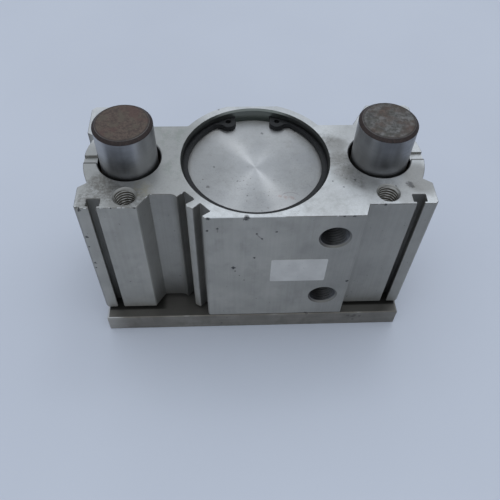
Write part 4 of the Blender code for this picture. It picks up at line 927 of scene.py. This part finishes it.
def make_retaining_ring(name, bottom, node):
    """A spring ring: its outline carried up by its thickness, with a turned key hole through each lug."""
    ring = add_mesh(name, prism(ring_outline(72), bottom, bottom + RING_THICKNESS, 0.12))
    turn = math.radians(LUG_TURN)
    key_x, key_y = 30.0 * math.cos(turn), 30.0 * math.sin(turn)
    profile = [(0, 3), (1.45, 3), (1.45, RING_THICKNESS), (1.25, 2.3), (1.25, -1), (0, -1)]
    holes = [moved(lathe(profile, 32, side * key_x, key_y), shift=(0, 0, bottom)) for side in (-1, 1)]
    carve(ring, holes)
    dress(ring, RING, "cylinder", "black_steel", node)


def make_sticker():
    """A bare sheet with round corners on the port face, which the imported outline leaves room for."""
    outline = np.array([(6.5, 42.5), (32.0, 42.5), (32.0, 59.4), (6.5, 59.4)])
    outline = eased(outline, 0.8, 6)
    sheet = prism(outline, 0, SHEET_THICKNESS, 0.02)
    place = moved(sheet, INTO_FRONT, (0, -HALF_DEPTH + SHEET_THICKNESS, 0))
    sticker = add_mesh("blank_sticker", place)
    dress(sticker, STICKER, "cylinder", "body_aluminium")


# The plate and rods


def plate_shape():
    """A rectangle with corners of radius 0.4 carried down: each row is the same outline with its four corner
    centres moved in along x and y by the row's own amounts, which slopes the upper edge of both ends by 1 mm."""
    rows = np.array(
        [(1.0, 0.4, PLATE_TOP), (0.6, 0, PLATE_TOP - 0.4), (0, 0, PLATE_TOP - 1), (0, 0, 0.4), (0.4, 0.4, 0)]
    )
    round_off = np.vstack([arc((0, 0), 0.4, start, start + 90, 4) for start in (180, 270, 0, 90)])
    corner = np.repeat([(-1, -1), (1, -1), (1, 1), (-1, 1)], 5, 0)
    flat = corner * (np.array([74.1, 33.6]) - rows[:, None, :2]) + round_off
    grid = np.dstack((flat, np.repeat(rows[:, 2:], len(corner), 1)))
    count = len(corner)
    faces = strip_faces(len(rows), count).tolist()
    return grid.reshape(-1, 3), faces + [list(range(count)), list(range(5 * count - 1, 4 * count - 1, -1))]


def make_plate():
    """The plate less three turned, stepped bolt holes and four threads up from below."""
    plate = add_mesh("end_plate_steel", plate_shape())
    spaces = []
    for x in (-ROD_X, 0, ROD_X):
        profile = [(0, 14), (4.3, 14), (4.3, 8.7), (6.8, 8.7), (6.8, 0.4), (7.2, 0), (7.2, -2), (0, -2)]
        spaces.append(lathe(profile, 64, x))
    for x in (-LOAD_X, LOAD_X):
        for y in (-LOAD_Y, LOAD_Y):
            hole = tapped_hole(*M10, depth=PLATE_TOP + 4, mouth=5.4)
            spaces.append(moved(hole, INTO_UNDERSIDE, (x, y, 0)))
    carve(plate, spaces)
    dress(plate, PLATE, "carriage", "plate_steel", "end_plate")


def make_guide_rod(side, x):
    """A ground rod with a chamfered free end and a tapped foot."""
    top = arc((ROD_RADIUS - 1.62, ROD_TOP - 0.2), 0.2, 90, 41, 3)
    shoulder = arc((ROD_RADIUS - 0.3, ROD_SHOULDER - 0.1), 0.3, 41, 0, 3)
    profile = np.vstack([
        [(0, ROD_TOP), (4, ROD_TOP), (8, ROD_TOP)], top, shoulder,
        [(ROD_RADIUS, 90), (ROD_RADIUS, ROD_FOOT + 0.5), (ROD_RADIUS - 0.5, ROD_FOOT)],
        [(4.1, ROD_FOOT), (4.1, 25.8), (0, 27.8)],
    ])
    rod = add_mesh("ground_rod_" + side, lathe(profile, 128, x))
    dress(rod, ROD, "carriage", "rod_steel", "guide_rod_" + side)


def make_piston_rod():
    """The middle rod, turned, with a reduced upper end for the piston and a hole up each end for its bolt."""
    profile = [
        (0, 40.8), (5.1, 43.3), (5.1, 57.3), (9.5, 57.3), (10, 56.8), (10, 12.0), (9.5, ROD_FOOT),
        (4.1, ROD_FOOT), (4.1, 25.8), (0, 27.8),
    ]
    rod = add_mesh("ground_piston_rod", lathe(profile, 96))
    dress(rod, ROD, "carriage", "rod_steel", "piston_rod")


def make_plate_bolt(place, x):
    """A socket-head bolt, its head's rim rounded and its key socket six-sided."""
    rim = arc((5.7, 1.2), 0.8, 0, -90, 4)
    profile = np.vstack(
        ([(0, 25.5), (3.5, 25.5), (4, 25.0), (4, 8.4), (6.2, 8.4), (6.5, 8.1), (6.5, 1.3)], rim, [(0, 0.4)])
    )
    bolt = add_mesh("socket_bolt_" + place, lathe(profile, 64, x))
    corner = 6 / math.sqrt(3)
    key = lathe([(0, 4.8), (corner, 4.2), (corner, 0), (corner + 0.4, -0.4), (0, -0.4)], 6, x)
    carve(bolt, [key])
    dress(bolt, RING, "carriage", "black_steel", "plate_bolt_" + place)


make_body()
make_cover()
make_retaining_ring("head_spring_ring", HEAD_RING_BOTTOM, "head_retaining_ring")
make_retaining_ring("rod_spring_ring", ROD_RING_BOTTOM, "rod_retaining_ring")
make_sticker()
make_plate()
make_guide_rod("left", -ROD_X)
make_guide_rod("right", ROD_X)
make_piston_rod()
for place, x in (("left", -ROD_X), ("centre", 0), ("right", ROD_X)):
    make_plate_bolt(place, x)

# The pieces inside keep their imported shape
BUSHES = "guide_bush_left_upper guide_bush_left_lower guide_bush_right_upper guide_bush_right_lower"
for names, finish in (
    ("rod_cover piston", COVER),
    ("rod_bushing " + BUSHES, BRONZE),
    ("head_cover_seal rod_cover_seal rod_seal piston_seal guide_wiper_left guide_wiper_right", RUBBER),
    ("head_bumper rod_bumper piston_wear_ring", URETHANE),
    ("piston_magnet", MAGNET),
    ("piston_bolt", RING),
):
    for name in names.split():
        node = nodes[name]
        node.data.materials.clear()
        node.data.materials.append(finish)


# The table, the light and the camera


def make_table():
    """A wide pale sheet that the part stands on."""
    outline = np.array([(-1, -1), (1, -1), (1, 1), (-1, 1)]) * 3000.0
    table = add_mesh("pale_table", (np.column_stack((outline, np.zeros(4))), [[0, 1, 2, 3]]))
    f = Finish("pale_paper", roughness=0.75)
    tone = f.noise(0.004, 3)
    f.set("Base Color", f.mix(f.spread(tone), (0.545, 0.585, 0.680), (0.575, 0.618, 0.714)))
    table.data.materials.append(f.material)


def add_lamp(name, way, power, colour):
    """A square lamp that looks at the part from the given direction."""
    data = bpy.data.lights.new(name, "AREA")
    data.size = LAMP_SIZE
    data.energy = power
    data.color = colour
    lamp = bpy.data.objects.new(name, data)
    back = np.array(way, float) / np.linalg.norm(way)
    right = np.cross((0, 1, 0), back)
    right /= np.linalg.norm(right)
    turn = np.eye(4)
    turn[:3, 0], turn[:3, 1], turn[:3, 2] = right, np.cross(back, right), back
    turn[:3, 3] = back * LAMP_DISTANCE + (0, 0, 0.09)
    lamp.matrix_world = Matrix(turn.tolist())
    bpy.context.scene.collection.objects.link(lamp)


def make_world():
    """A room that is dim at eye level and bright overhead, a little more so behind the part."""
    world = bpy.data.worlds.new("room")
    bpy.context.scene.world = world
    world.use_nodes = True
    tree = world.node_tree
    shader = tree.nodes["Background"]
    where = tree.nodes.new("ShaderNodeTexCoord").outputs["Generated"]
    height = tree.nodes.new("ShaderNodeVectorMath")
    height.operation = "DOT_PRODUCT"
    height.inputs[1].default_value = (0, 0.12, 1)
    tree.links.new(where, height.inputs[0])
    lean = tree.nodes.new("ShaderNodeMapRange")
    lean.interpolation_type = "SMOOTHSTEP"
    for index, value in enumerate((0.45, 1.0, 0.38, 1.38)):
        lean.inputs[index + 1].default_value = value
    tree.links.new(height.outputs["Value"], lean.inputs[0])
    tree.links.new(lean.outputs[0], shader.inputs["Strength"])
    shader.inputs["Color"].default_value = (0.90, 0.95, 1.0, 1.0)


def make_camera():
    """The photograph's view: place and turn were solved from the part's corners in the picture."""
    data = bpy.data.cameras.new("camera")
    data.sensor_width = 36.0
    data.lens = 40.929
    data.clip_start = 0.01
    data.clip_end = 20.0
    camera = bpy.data.objects.new("camera", data)
    right = (0.99897654, -0.03907613, 0.02277998)
    up = (0.01764806, 0.80044852, 0.59914164)
    back = (-0.04164633, -0.59812642, 0.80031891)
    place = (-0.013468, -0.181579, 0.263982)
    turn = Matrix((right, up, back)).transposed().to_4x4()
    turn.translation = place
    camera.matrix_world = turn
    bpy.context.scene.collection.objects.link(camera)
    bpy.context.scene.camera = camera


make_table()
make_world()
add_lamp("ceiling_right", (0.23, 0.40, 0.887), 0.39, (0.98, 0.99, 1.0))
add_lamp("ceiling_left", (-0.14, 0.40, 0.905), 0.16, (0.97, 0.985, 1.0))
make_camera()
bpy.context.scene.view_settings.view_transform = "Standard"
